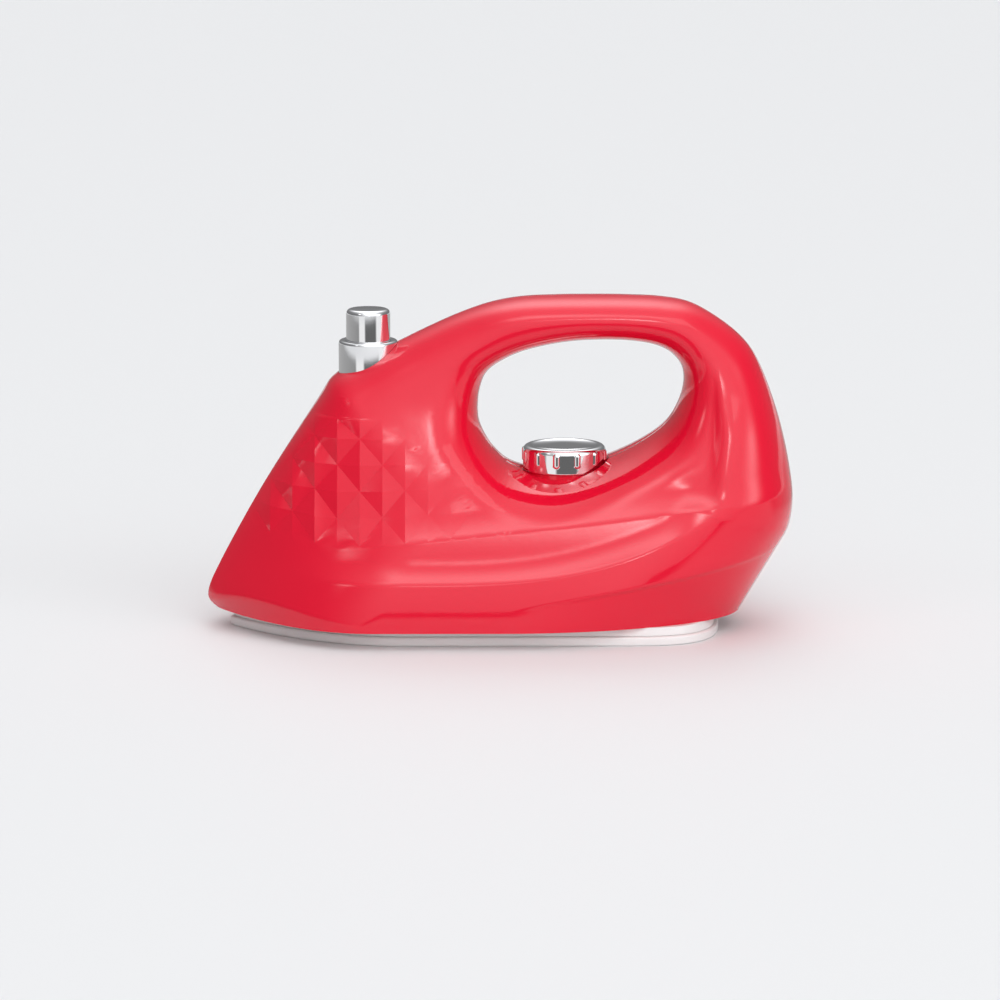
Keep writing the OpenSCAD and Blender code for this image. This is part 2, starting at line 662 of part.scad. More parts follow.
module sole_plate() {
    bead = 0.5;
    rib_x = [motor_x + 2, motor_x + motor_l - 2 - rib_t];
    color(white) difference() {
        union() {
            sole_layer(bead, 0, bead);
            sole_layer(0, bead, lip_t - bead);
            sole_layer(bead, lip_t - bead, lip_t);
            sole_layer(lip_step, lip_t, base_z);
            closing_plate();
            translate([box_x0, -box_in_w / 2 - box_wall, base_z])
                cube([box_in_l + 2 * box_wall, box_in_w + 2 * box_wall, box_in_top + box_wall - base_z]);
            for (x = rib_x) {
                translate([x, -motor_d / 2 - 2, base_z]) cube([rib_t, motor_d + 4, motor_z - base_z]);
            }
            for (side = [-1, 1]) {
                translate([clamp_x, side * post_y, 0]) upright(boss_r - 0.6, base_z, motor_top);
            }
        }
        motor_can(gap / 4);
        translate([box_x, -box_in_w / 2, -1]) cube([box_in_l, box_in_w, box_in_top + 1]);
        translate([box_x - ledge - screw_end, -box_in_w / 2 - ledge, -1])
            cube([box_in_l + 2 * ledge + screw_end, box_in_w + 2 * ledge, 1 + door_z + door_t + gap / 2]);
        translate([door_screw_x, 0, 0]) upright(pilot_r, 0, plate_top + 2);
        door_tongues(gap);
        for (side = [-1, 1]) {
            translate([clamp_x, side * post_y, 0])
                upright(pilot_r, motor_top - clamp_screw_l, motor_top + 1);
            for (p = sole_spots) {
                translate([p[0], side * p[1], 0]) {
                    upright(free_r, -1, plate_top + 1);
                    upright(sink_r, -1, sole_head_z);
                }
            }
        }
    }
}

module sole_screws() {
    color(steel) for (p = sole_spots, side = [-1, 1]) {
        translate([p[0], side * p[1], sole_head_z - head_t]) screw(sole_screw_l);
    }
}

// Two tongues at the heel end of the door, grown by a clearance for their slots
module door_tongues(grow) {
    for (side = [-1, 1]) {
        translate([box_x + box_in_l, side * tongue_y - tongue_w / 2 - grow, door_z + 0.5 * door_t - grow])
            cube([ledge + tongue_l + grow, tongue_w + 2 * grow, 0.5 * door_t + grow]);
    }
}

// Battery door with tongues at one end, grip lines and a screw at the other
module battery_door() {
    l = box_in_l + 2 * ledge + screw_end - 2 * gap;
    w = box_in_w + 2 * ledge - 2 * gap;
    x = box_x - ledge - screw_end + gap;
    color(white) difference() {
        union() {
            translate([x, -w / 2, door_z]) cube([l, w, door_t]);
            door_tongues(0);
        }
        translate([door_screw_x, 0, 0]) {
            upright(free_r, -1, door_z + door_t + 1);
            upright(sink_r, -1, door_seat);
        }
        for (k = [0 : 4]) {
            translate([x + l - 14 + 2 * k, -8, door_z - 1]) cube([0.9, 16, 1.4]);
        }
    }
}

module door_screw() {
    color(steel) translate([door_screw_x, 0, door_seat - door_head]) screw(door_screw_l, door_head);
}

// Cell with its contact button at the front
module cell() {
    rotate([0, 90, 0]) {
        cylinder(r = cell_d / 2, h = cell_l);
        translate([0, 0, -button_l]) cylinder(r = cell_d * 0.19, h = button_l + 1);
    }
}

module battery_left() {
    color(black) translate([box_x + contact_t + button_l, -cell_y, cell_z]) cell();
}

module battery_right() {
    color(black) translate([box_x + box_in_l - contact_t - button_l, cell_y, cell_z]) rotate(180) cell();
}

contact_w = cell_d * 0.75;
module contact(x, y0, y1) {
    translate([x, y0, cell_z - contact_w / 2]) cube([contact_t, y1 - y0, contact_w]);
}

module contact_bridge() {
    color(steel) contact(box_x, -cell_y - contact_w / 2, cell_y + contact_w / 2);
}

module contact_terminals() {
    color(steel) for (side = [-1, 1]) {
        contact(box_x + box_in_l - contact_t, side * cell_y - contact_w / 2, side * cell_y + contact_w / 2);
    }
}

module contact_springs() {
    l = coil_l - gap;
    color(steel) {
        for (x = [[box_x + contact_t + gap / 2, 1], [box_x + box_in_l - contact_t - gap / 2 - l, -1]]) {
            translate([x[0], x[1] * cell_y, cell_z]) rotate([0, 90, 0]) coil(3.6, 0.7, 3, l);
        }
    }
}

module motor() {
    color(steel) difference() {
        union() {
            motor_can(0);
            translate([motor_x - 1.5, 0, motor_z]) rotate([0, 90, 0]) cylinder(r = 3, h = 3);
        }
        translate([motor_x - 2, 0, motor_z]) rotate([0, 90, 0])
            cylinder(r = shaft_r + run, h = shaft_in + 2.5);
    }
}

// Shaft with its off-centre weight, heavy side down
module eccentric_weight() {
    color(brass) union() {
        translate([weight_x - 1, 0, motor_z]) rotate([0, 90, 0])
            cylinder(r = shaft_r, h = motor_x + shaft_in - weight_x + 1);
        translate([weight_x, 0, motor_z]) rotate([0, 90, 0]) cylinder(r = 3, h = weight_t);
        intersection() {
            translate([weight_x, 0, motor_z]) rotate([0, 90, 0]) cylinder(r = weight_r, h = weight_t);
            translate([weight_x, -weight_r, motor_z - weight_r - 1])
                cube([weight_t, 2 * weight_r, weight_r + 1]);
        }
    }
}

module motor_clamp() {
    w = 2 * post_y + 8;
    color(black) difference() {
        translate([clamp_x - clamp_w / 2, -w / 2, motor_top + gap / 4]) cube([clamp_w, w, clamp_t]);
        for (side = [-1, 1]) {
            translate([clamp_x, side * post_y, 0]) upright(free_r, 0, body_h);
        }
    }
}

module clamp_screws() {
    color(steel) for (side = [-1, 1]) {
        translate([clamp_x, side * post_y, motor_top + gap / 4 + clamp_t + head_t]) rotate([180, 0, 0])
            screw(clamp_screw_l);
    }
}

module switch_board() {
    color(green)
        translate([button_x - board_l / 2, -board_w / 2, board_z]) cube([board_l, board_w, board_t]);
}

module push_switch() {
    hole = plunger_w + 2 * gap;
    color(black) difference() {
        translate([button_x - switch_w / 2, -switch_w / 2, switch_z]) cube([switch_w, switch_w, switch_h]);
        translate([button_x - hole / 2, -hole / 2, switch_z + 0.8]) cube([hole, hole, switch_h]);
    }
}

module switch_plunger() {
    l = plunger_out + switch_h - 0.8 - button_travel - gap;
    color(white) translate([button_x - plunger_w / 2, -plunger_w / 2, stem_z - l])
        cube([plunger_w, plunger_w, l]);
}

// Quarter circle of points for a rounded edge of a turned piece
function round_edge(x, z, r) = [for (a = [0 : 15 : 90]) [x - r + r * cos(a), z - r + r * sin(a)]];

module button_cap() {
    edge = 1.6;
    color(chrome) translate([button_x, 0, 0]) rotate_extrude() polygon(concat(
        [[0, stem_z], [stem_r, stem_z], [stem_r, cap_flange_z], [cap_flange_r, cap_flange_z],
            [cap_flange_r, cap_flange_z + cap_flange_t], [cap_r, cap_flange_z + cap_flange_t]],
        round_edge(cap_r, cap_top, edge), [[0, cap_top]]));
}

module button_collar() {
    lip_r = cap_r + run;
    bore_r = cap_flange_r + 0.3;
    outer_r = collar_d / 2;
    color(chrome) translate([button_x, 0, 0]) rotate_extrude() polygon(concat(
        [[bore_r, collar_z], [collar_flange_r, collar_z], [collar_flange_r, collar_z + collar_flange_t],
            [outer_r, collar_z + collar_flange_t]],
        round_edge(outer_r, collar_top, 0.8), [[lip_r, collar_top], [lip_r, collar_top - lip_h],
            [bore_r, collar_top - lip_h]]));
}

module button_spring() {
    color(steel) translate([button_x, 0, shelf_z + gap / 4])
        coil(spring_r, spring_wire, spring_turns, cap_flange_z - shelf_z - gap / 2);
}

// Dial with upright ribs on its rim, a spindle and a square tip
module dial_knob() {
    rim_r = dial_r - 0.5;
    rib_r = 0.8;
    rib_turn = 18;
    color(chrome) translate([dial_x, 0, 0]) difference() {
        union() {
            rotate_extrude() polygon(concat([[0, pad_z - gap], [spindle_r, pad_z - gap]],
                [[spindle_r, dial_z], [rim_r, dial_z]], round_edge(rim_r, dial_z + dial_h, 2),
                [[0, dial_z + dial_h]]));
            for (k = [0 : dial_ribs - 1]) {
                rotate(rib_turn + 360 * k / dial_ribs)
                    translate([dial_r - rib_r, 0, dial_z + 0.35 * dial_h])
                        cylinder(r = rib_r, h = 0.45 * dial_h);
            }
            translate([-tip_w / 2, -tip_w / 2, wheel_z + 0.4]) cube([tip_w, tip_w, pad_z - wheel_z]);
        }
        upright(pilot_r - dial_bite, wheel_z - 1, wheel_z + 7);
    }
}

// Toothed wheel under the pad, one tooth for each rib of the dial
module click_wheel() {
    hole = tip_w + 2 * run;
    color(white) translate([dial_x, 0, wheel_z]) difference() {
        linear_extrude(wheel_t) polygon([for (k = [0 : 2 * dial_ribs - 1]) let (
                r = wheel_r - (k % 2) * tooth_h,
                a = 180 * k / dial_ribs)
            [r * cos(a), r * sin(a)]]);
        translate([-hole / 2, -hole / 2, -1]) cube([hole, hole, wheel_t + 2]);
    }
}

// Leaf that rides on the teeth, with a foot under the dial's pad
module click_spring() {
    y = -wheel_r - 0.3;
    color(steel) translate([dial_x, 0, 0]) {
        translate([-leaf_l / 2, y - leaf_t, wheel_z]) cube([leaf_l, leaf_t, wheel_t]);
        translate([-leaf_l / 2, y - 4, wheel_z + wheel_t - leaf_t]) cube([5, 4, leaf_t + gap]);
    }
}

module dial_screw() {
    head = 1.6;
    shaft_l = 6;
    color(steel) translate([dial_x, 0, wheel_z - head]) {
        cylinder(r = head_r, h = head);
        cylinder(r = pilot_r - run - dial_bite, h = head + shaft_l);
    }
}

body_left();
body_right();
body_screws();
sole_plate();
sole_screws();
battery_door();
door_screw();
battery_left();
battery_right();
contact_bridge();
contact_terminals();
contact_springs();
motor();
eccentric_weight();
motor_clamp();
clamp_screws();
switch_board();
push_switch();
switch_plunger();
button_cap();
button_collar();
button_spring();
dial_knob();
click_wheel();
click_spring();
dial_screw();
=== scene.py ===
import json
import math

import bmesh
import bpy
import numpy as np
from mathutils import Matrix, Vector


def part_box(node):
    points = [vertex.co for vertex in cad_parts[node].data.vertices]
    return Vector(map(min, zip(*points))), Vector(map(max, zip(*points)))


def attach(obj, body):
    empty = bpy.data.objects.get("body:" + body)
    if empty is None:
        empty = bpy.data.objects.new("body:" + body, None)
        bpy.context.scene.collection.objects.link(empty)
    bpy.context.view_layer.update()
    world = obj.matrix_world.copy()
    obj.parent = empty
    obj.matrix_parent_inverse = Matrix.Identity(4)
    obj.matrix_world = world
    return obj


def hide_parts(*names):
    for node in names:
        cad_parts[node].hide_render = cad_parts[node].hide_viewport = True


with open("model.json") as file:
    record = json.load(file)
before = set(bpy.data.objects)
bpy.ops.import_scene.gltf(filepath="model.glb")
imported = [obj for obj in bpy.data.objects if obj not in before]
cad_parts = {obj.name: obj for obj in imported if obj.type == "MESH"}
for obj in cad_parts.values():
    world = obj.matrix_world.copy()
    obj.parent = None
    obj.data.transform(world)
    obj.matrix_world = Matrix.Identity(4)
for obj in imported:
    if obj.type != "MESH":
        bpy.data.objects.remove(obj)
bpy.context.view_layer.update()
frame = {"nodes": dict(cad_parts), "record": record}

scene = bpy.context.scene
MM = 0.001

# Driving sizes of the shells, in millimetres as in the CAD model
BASE_Z = 5.0
BASE_W = 77.0
HANDLE_W = 26.0
FLANK_H = 83.0
WALL = 2.0
SOFT = 1.35
BOW_POWER = 0.85
SEAM = 0.15

# Side outline, handle opening and the middle that the profiles start from, as X and Z
NOSE_FOOT = (-80.5, BASE_Z)
HEEL_FOOT = (68.5, BASE_Z)
HEEL_EDGE = (79.8, 24.3)
CENTRE = np.array((22.0, 63.0))
NOSE_KEYS = [(-83.2, 9), (-79.5, 18.5), (-66.7, 41.7), (-51.9, 64.8), (-46.8, 72.2)]
OUTLINE_KEYS = [NOSE_FOOT, *NOSE_KEYS, (-37.5, 77.2), (-28.3, 81.9), (-19.8, 86.1), (-11.2, 89.9),
    (-2.7, 92.8), (6, 94.4), (16, 94.9), (26, 95), (36, 94.9), (45.7, 94.4), (54.2, 92.7), (62.8, 87.8),
    (69.3, 82.2), (73.4, 76), (77.8, 64.8), (81, 53.2), (83, 42), (83.3, 35.5), (82.3, 29), HEEL_EDGE]
OPENING_KEYS = [(15, 44.4), (4.7, 46), (-1.3, 50.6), (-5.3, 57.4), (-6.2, 63), (-5.4, 69.4), (-2.8, 74.2),
    (4.2, 78.4), (12.6, 80.9), (23, 82.4), (36, 82.4), (45.4, 80.6), (50.6, 76.6), (52.2, 71.4), (50.8, 64.6),
    (46.4, 57.6), (37, 51.2), (26, 46.5)]
CURVE_STEPS = 6
# Rounding round the body: direction from the centre, outer depth, share of a straight bow, inner depth
ROUNDING = np.array([(0, 12, 0, 9), (25, 10, 0, 8), (50, 6.6, 0, 6.2), (125, 6.6, 0, 6.2), (145, 8.6, 0, 7.4),
    (160, 9.2, 0, 9.4), (170, 9.4, 0, 11), (178, 12.5, 0.06, 12), (186, 21, 0.35, 12), (195, 33, 0.75, 11.5),
    (208, 44, 1, 10), (300, 38, 0.2, 8), (326, 36, 0, 9), (340, 22, 0, 10), (360, 12, 0, 9)], float)

# Creases of the flank; a span is where a feature starts to fade in and over what length
SHOULDER_H = 7.0
PANEL_STEP = 1.2
PANEL_X, PANEL_Z = -45.0, 27.5
PANEL_RISE, PANEL_FALL = 0.105, -0.09
CREASE = 2.0
CREASE_X, CREASE_Z, CREASE_L = -20.0, 18.5, 65.0
CREASE_RISE, CREASE_POWER = 10.2, 2.7
CREASE_SPAN = (-62.0, 25.0)
PILLAR_X, PILLAR_L, PILLAR_RISE = 59.0, 4.0, 9.0
PILLAR_DISH = 12.0
PILLAR_SPAN = (45.0, 17.0)
GRIP_SPAN = (56.0, 22.0)
HEEL_X, HEEL_Z, HEEL_SLOPE = 5.0, 12.0, 0.17
HEEL_LEAN = 0.42
HEEL_STEP, HEEL_STEP_H = 0.6, 1.4
HEEL_SPAN = (2.0, 45.0)


def curve(keys, closed):
    """Smooth row of points through the keys."""
    keys = np.array(keys, float)
    n = len(keys)
    rows = []
    for i in range(n if closed else n - 1):
        a, b, c, d = (keys[(i + k) % n if closed else min(max(i + k, 0), n - 1)] for k in (-1, 0, 1, 2))
        for t in np.arange(CURVE_STEPS) / CURVE_STEPS:
            rows.append(0.5 * (2 * b + (c - a) * t + (2 * a - 5 * b + 4 * c - d) * t ** 2
                               + (3 * b - a - 3 * c + d) * t ** 3))
    return np.array(rows)


OUTLINE = np.vstack([curve(OUTLINE_KEYS, False), HEEL_EDGE, HEEL_FOOT])
OPENING = curve(OPENING_KEYS, True)


def loop(row):
    return np.vstack([row, row[:1]])


def distance(points, row):
    """Distance from each point to a row of points."""
    best = np.full(len(points), np.inf)
    for a, b in zip(row[:-1], row[1:]):
        e = b - a
        t = np.clip((points - a) @ e / (e @ e), 0, 1)
        best = np.minimum(best, np.linalg.norm(points - a - t[:, None] * e, axis=1))
    return best


def fade(v, start, length):
    """Smooth rise from 0 to 1 over a length from the start."""
    c = np.clip((v - start) / length, 0, 1)
    return c * c * (3 - 2 * c)


def shoulder(v):
    return 1 - (1 - np.clip(v, 0, 1)) ** 2


def arch(v):
    return np.sqrt(1 - (1 - np.clip(v / SOFT, 0, 1)) ** 3)


def bow(v):
    return np.sin(np.pi / 2 * np.clip(v, 0, 1)) ** BOW_POWER


def panel_line(x):
    """Height of the crease under the faceted panel."""
    return PANEL_Z + np.where(x > PANEL_X, PANEL_RISE, PANEL_FALL) * (x - PANEL_X)


def crease_line(x):
    """Height of the long crease, which rises to the heel and turns up along the rear pillar."""
    along = np.maximum(x - CREASE_X, 0) / CREASE_L
    up = np.maximum(x - PILLAR_X, 0) / PILLAR_L
    return CREASE_Z + CREASE_RISE * along ** CREASE_POWER + PILLAR_RISE * up ** 3


def above_crease(x, z):
    """Distance above the long crease, square to it."""
    half = 0.1
    slope = (crease_line(x + half) - crease_line(x - half)) / (2 * half)
    return (z - crease_line(x)) / np.sqrt(1 + slope ** 2)


def heel_line(x):
    """Height of the crease round the heel, under which the body leans in."""
    return HEEL_Z + HEEL_SLOPE * (x - HEEL_X)


def flank(x, z):
    """Half width of the body before its edges are rounded."""
    upper = HANDLE_W / 2 + CREASE + PANEL_STEP
    turn = np.pi * np.clip((z - BASE_Z) / FLANK_H, 0, 1)
    plain = upper + (BASE_W / 2 - upper) * (1 + np.cos(turn)) / 2
    dish = shoulder(above_crease(x, z) / (SHOULDER_H + PILLAR_DISH * fade(x, *PILLAR_SPAN)))
    long_crease = CREASE * fade(x, *CREASE_SPAN) * np.maximum(dish, fade(z, *GRIP_SPAN))
    panel = PANEL_STEP * shoulder((z - panel_line(x)) / SHOULDER_H)
    below = np.maximum(0, heel_line(x) - z)
    heel = fade(x, *HEEL_SPAN) * (HEEL_LEAN * below + HEEL_STEP * fade(below, 0, HEEL_STEP_H))
    return plain - long_crease - panel - heel


def bearing(p):
    """Direction of each point from the centre, in degrees."""
    d = np.atleast_2d(p) - CENTRE
    return np.degrees(np.arctan2(d[:, 1], d[:, 0])) % 360


def rounding_at(turn):
    """Outer depth, share of a bow and inner depth, which run smoothly between the directions."""
    n = len(ROUNDING) - 1
    k = np.arange(n + 1)
    before, after = ROUNDING[(k - 1) % n], ROUNDING[k % n + 1]
    slope = (after - before) / ((after[:, :1] - before[:, :1]) % 360)
    i = np.clip(np.searchsorted(ROUNDING[:, 0], turn, side="right") - 1, 0, n - 1)
    gap = ROUNDING[i + 1, 0] - ROUNDING[i, 0]
    t = ((turn - ROUNDING[i, 0]) / gap)[:, None]
    row = ROUNDING[i] * (1 + 2 * t) * (1 - t) ** 2 + ROUNDING[i + 1] * (3 - 2 * t) * t ** 2 \
        + gap[:, None] * t * (1 - t) * ((1 - t) * slope[i] - t * slope[i + 1])
    return row[:, 1], row[:, 2], row[:, 3]


def half_width(p, inset=0.0):
    """Half width of the skin that lies some way inside the outer one, at places of X and Z."""
    deep, share, inner = rounding_at(bearing(p))
    out = np.maximum(0, distance(p, OUTLINE) - inset) / (deep - inset)
    inn = np.maximum(0, distance(p, loop(OPENING)) - inset) / (inner - inset)
    return (flank(p[:, 0], p[:, 1]) - inset) * ((1 - share) * arch(out) + share * bow(out)) * arch(inn)


def shift(row, by, closed):
    """Row moved sideways, to the right of its direction for plus."""
    n = len(row)
    if closed:
        e = np.roll(row, -1, 0) - np.roll(row, 1, 0)
    else:
        k = np.arange(n)
        e = row[np.minimum(k + 1, n - 1)] - row[np.maximum(k - 1, 0)]
    side = np.stack([e[:, 1], -e[:, 0]], 1)
    return row + by * side / np.linalg.norm(side, axis=1)[:, None]


def ray_radius(u, row):
    """Distance from the centre along each direction to a closed row."""
    tiny, slack = 1e-12, 1e-4
    best = np.zeros(len(u))
    for a, b in zip(row[:-1], row[1:]):
        e = b - a
        n = u[:, 0] * e[1] - u[:, 1] * e[0]
        n = np.where(np.abs(n) < tiny, tiny, n)
        w = a - CENTRE
        s = (w[0] * u[:, 1] - w[1] * u[:, 0]) / n
        r = (w[0] * e[1] - w[1] * e[0]) / n
        best = np.where((s >= -slack) & (s <= 1 + slack), np.maximum(best, r), best)
    return best


# Directions of the profiles, as from, to and count; the feet and the heel's edge each have one
nose_turn, heel_turn, edge_turn = (bearing(p)[0] for p in (NOSE_FOOT, HEEL_FOOT, HEEL_EDGE))
SECTORS = [(0, 30, 20), (30, 60, 28), (60, 120, 36), (120, 160, 36), (160, 195, 40), (195, nose_turn, 34),
    (nose_turn, 216, 26), (216, 240, 26), (240, 285, 36), (285, 300, 14), (300, heel_turn, 26),
    (heel_turn, edge_turn, 22), (edge_turn, 360, 26)]
TURNS = np.concatenate([np.linspace(a, b, n, endpoint=False) for a, b, n in SECTORS])
TURN_SLACK = 0.001
ON_BASE = (TURNS > nose_turn + TURN_SLACK) & (TURNS < heel_turn - TURN_SLACK)
# Rows of a fine profile between the opening, the three creases, the heel's step and the rim
SPANS = (26, 12, 14, 6, 12)
# Least gap to the row before and largest reach of each crease's row, as shares of the profile
PANEL_ROOM, CREASE_ROOM, HEEL_ROOM = (0.3, 0.6), (0.08, 0.85), (0.06, 0.96)
STEP_ROOM, STEP_SHARE = 1.8, 0.4
HALVINGS = 30
# Rows of a coarse profile, as shares of its length
COARSE = np.array((0, 0.03, 0.15, 0.35, 0.6, 0.85, 0.97, 1))
FOOT_SHIFT = 1.4


def crossing(u, r0, r1, line):
    """Radius at which each direction crosses a crease."""
    lo, hi = r0.copy(), r1.copy()
    for _ in range(HALVINGS):
        mid = (lo + hi) / 2
        p = CENTRE + mid[:, None] * u
        above = p[:, 1] > line(p[:, 0])
        lo, hi = np.where(above, mid, lo), np.where(above, hi, mid)
    return (lo + hi) / 2


def fine_radii(u, r0, r1):
    """Radii of each profile, with rows that follow the three creases and keep some room between them."""
    def row(line, before, room):
        least, most = before + room[0] * (r1 - r0), r0 + room[1] * (r1 - r0)
        return np.clip(crossing(u, r0, r1, line), least, most)

    a = row(panel_line, r0, PANEL_ROOM)
    c = row(crease_line, a, CREASE_ROOM)
    d = row(heel_line, c, HEEL_ROOM)
    step = np.minimum(STEP_ROOM, STEP_SHARE * (r1 - d))
    to_a, to_c, to_d, to_step = (np.arange(n) / n for n in SPANS[:4])
    to_rim = np.arange(SPANS[4] + 1) / SPANS[4]
    return np.hstack([r0[:, None] + np.outer(a - r0, to_a ** 2), a[:, None] + np.outer(c - a, to_c),
        c[:, None] + np.outer(d - c, to_d), d[:, None] + np.outer(step, to_step),
        r1[:, None] - np.outer(r1 - (d + step), (1 - to_rim) ** 2)])


def skin(inset, coarse):
    """Grid of points of the skin that lies some way inside the outer one, as stations by rows by XYZ."""
    if inset == 0:
        rim, row = OPENING, OUTLINE
    else:
        rim, row = shift(OPENING, -inset, True), shift(OUTLINE, inset, False)
        row[0] = (NOSE_FOOT[0] + FOOT_SHIFT * inset, BASE_Z)
        row[-1] = (HEEL_FOOT[0] - FOOT_SHIFT * inset, BASE_Z)
    turn_a, turn_b = bearing(row[0])[0], bearing(row[-1])[0]
    turn = np.interp(TURNS, (0, nose_turn, heel_turn, 360), (0, turn_a, turn_b, 360))
    u = np.stack([np.cos(np.radians(turn)), np.sin(np.radians(turn))], 1)
    r0, r1 = ray_radius(u, loop(rim)), ray_radius(u, loop(row))
    radii = r0[:, None] + np.outer(r1 - r0, COARSE) if coarse else fine_radii(u, r0, r1)
    p = CENTRE + radii[:, :, None] * u[:, None, :]
    y = half_width(p.reshape(-1, 2), inset).reshape(radii.shape)
    y[:, 0] = 0
    y[~ON_BASE, -1] = 0
    z = p[:, :, 1].copy()
    z[ON_BASE, -1] = BASE_Z
    grid = np.stack([p[:, :, 0], y, z], 2)
    return grid if coarse else with_groove(grid, u)


def with_groove(grid, u):
    """Adds a row along each rim, so that the two halves meet in a fine parting groove."""
    first, last = grid[:, :1].copy(), grid[:, -1:].copy()
    first[:, :, 1] = SEAM
    last[~ON_BASE, :, 1] = SEAM
    last[ON_BASE] = (grid[ON_BASE, -2:-1] + last[ON_BASE]) / 2
    out = SEAM * np.stack([u[:, 0], np.zeros(len(u)), u[:, 1]], 1)
    grid[:, 0] += out
    grid[~ON_BASE, -1] -= out[~ON_BASE]
    return np.concatenate([grid[:, :1], first, grid[:, 1:-1], last, grid[:, -1:]], 1)


# Meshes and their tools
def new_object(name, points, faces):
    data = bpy.data.meshes.new(name)
    data.from_pydata([tuple(p) for p in np.asarray(points, float) * MM], [], [tuple(f) for f in faces])
    bm = bmesh.new()
    bm.from_mesh(data)
    bmesh.ops.recalc_face_normals(bm, faces=bm.faces)
    bm.to_mesh(data)
    bm.free()
    obj = bpy.data.objects.new(name, data)
    scene.collection.objects.link(obj)
    return obj


def strip(a, b):
    """Quads between two rings of point numbers."""
    n = len(a)
    return [(a[k], a[(k + 1) % n], b[(k + 1) % n], b[k]) for k in range(n)]


def walls(rings):
    """Faces between neighbouring rings, without the corners that two rings share."""
    quads = [f for a, b in zip(rings[:-1], rings[1:]) for f in strip(a, b)]
    kept = [list(dict.fromkeys(f)) for f in quads]
    return [f for f in kept if len(f) > 2]


def shell_mesh(name):
    outer, inner = skin(0, False), skin(WALL, True)
    k, rows_out, rows_in = len(TURNS), outer.shape[1], inner.shape[1]
    o = np.arange(k * rows_out).reshape(k, rows_out)
    n = k * rows_out + np.arange(k * rows_in).reshape(k, rows_in)
    faces = walls(o.T)
    for i in range(rows_in - 1):
        faces += strip(n[:, i + 1], n[:, i])
    faces += strip(n[:, 0], o[:, 0]) + strip(o[:, -1], n[:, -1])
    return new_object(name, np.vstack([outer.reshape(-1, 3), inner.reshape(-1, 3)]), faces)


def core_mesh(name, inset):
    """Solid half body inside the skin, used to trim what is moulded inside."""
    grid = skin(inset, True)
    k, n = grid.shape[:2]
    g = np.arange(k * n).reshape(k, n)
    feet = np.flatnonzero(ON_BASE)
    rim = g[:, -1].copy()
    rim[feet] = k * n + np.arange(len(feet))
    extra = np.stack([grid[feet, -1, 0], np.zeros(len(feet)), np.full(len(feet), BASE_Z)], 1)
    return new_object(name, np.vstack([grid.reshape(-1, 3), extra]), walls([*g.T, rim, g[:, 0]]))


def rod(r, a, b, sides=96):
    """Cylinder between two points; its first corner is turned off the axes, so that no cut meets a corner."""
    a, b = np.array(a, float), np.array(b, float)
    axis = Vector(b - a).normalized()
    one = axis.orthogonal().normalized()
    two = axis.cross(one)
    phase = 0.37
    turn = 2 * np.pi * (np.arange(sides) + phase) / sides
    ring = r * (np.outer(np.cos(turn), one) + np.outer(np.sin(turn), two))
    lower, upper = list(range(sides)), list(range(sides, 2 * sides))
    return new_object("tool", np.vstack([ring + a, ring + b]), [lower[::-1], upper] + strip(lower, upper))


def block(lo, hi):
    x, y, z = zip(lo, hi)
    points = [(x[i], y[j], z[k]) for i in (0, 1) for j in (0, 1) for k in (0, 1)]
    return new_object("tool", points,
        [(0, 1, 3, 2), (4, 6, 7, 5), (0, 4, 5, 1), (2, 3, 7, 6), (0, 2, 6, 4), (1, 5, 7, 3)])


def boolean(obj, tool, operation, keep=False):
    mod = obj.modifiers.new(operation, "BOOLEAN")
    mod.operation, mod.solver, mod.object = operation, "MANIFOLD", tool
    done = bpy.data.meshes.new_from_object(obj.evaluated_get(bpy.context.evaluated_depsgraph_get()))
    obj.modifiers.clear()
    obj.data = done
    if not keep:
        bpy.data.objects.remove(tool)


def cut(obj, tool):
    boolean(obj, tool, "DIFFERENCE")


def smooth_by_angle(obj, degrees):
    for p in obj.data.polygons:
        p.use_smooth = True
    obj.data.set_sharp_from_angle(angle=math.radians(degrees))


# Materials by slot: name, colour, metal, roughness scale and range, grain scale, strength and depth
LOOKS = {
    "red_plastic": ("red_gloss", (0.74, 0.006, 0.03), 0, 40, (0.05, 0.09), 260, 0.03, 0.0004),
    "white_plastic": ("white_moulded", (0.82, 0.8, 0.79), 0, 60, (0.24, 0.36), 400, 0.05, 0.0003),
    "chrome_plating": ("bright_chrome", (0.86, 0.86, 0.87), 1, 90, (0.03, 0.08), 300, 0.015, 0.0002),
    "screw_steel": ("zinc_steel", (0.6, 0.6, 0.62), 1, 300, (0.25, 0.42), 1200, 0.08, 0.0001),
    "contact_metal": ("spring_wire", (0.66, 0.66, 0.66), 1, 300, (0.2, 0.34), 1500, 0.05, 0.0001),
    "motor_steel": ("motor_can", (0.62, 0.63, 0.65), 1, 150, (0.22, 0.36), 900, 0.06, 0.0001),
    "brass": ("turned_brass", (0.78, 0.55, 0.24), 1, 200, (0.2, 0.34), 900, 0.06, 0.0001),
    "cell_jacket": ("cell_jacket", (0.03, 0.03, 0.035), 0, 120, (0.3, 0.42), 600, 0.04, 0.0001),
    "black_plastic": ("black_moulded", (0.02, 0.02, 0.022), 0, 150, (0.34, 0.48), 700, 0.08, 0.0001),
    "board_green": ("board_green", (0.03, 0.18, 0.08), 0, 200, (0.25, 0.36), 900, 0.04, 0.0001),
}
CLOUD_DETAIL = 3.0
GRAIN_DETAIL = 2.0


def material(name, colour):
    mat = bpy.data.materials.new(name)
    mat.use_nodes = True
    shader = mat.node_tree.nodes["Principled BSDF"]
    shader.inputs["Base Color"].default_value = (*colour, 1)
    return mat, shader


def add_node(mat, kind, **values):
    made = mat.node_tree.nodes.new(kind)
    for key, value in values.items():
        made.inputs[key.replace("_", " ")].default_value = value
    return made


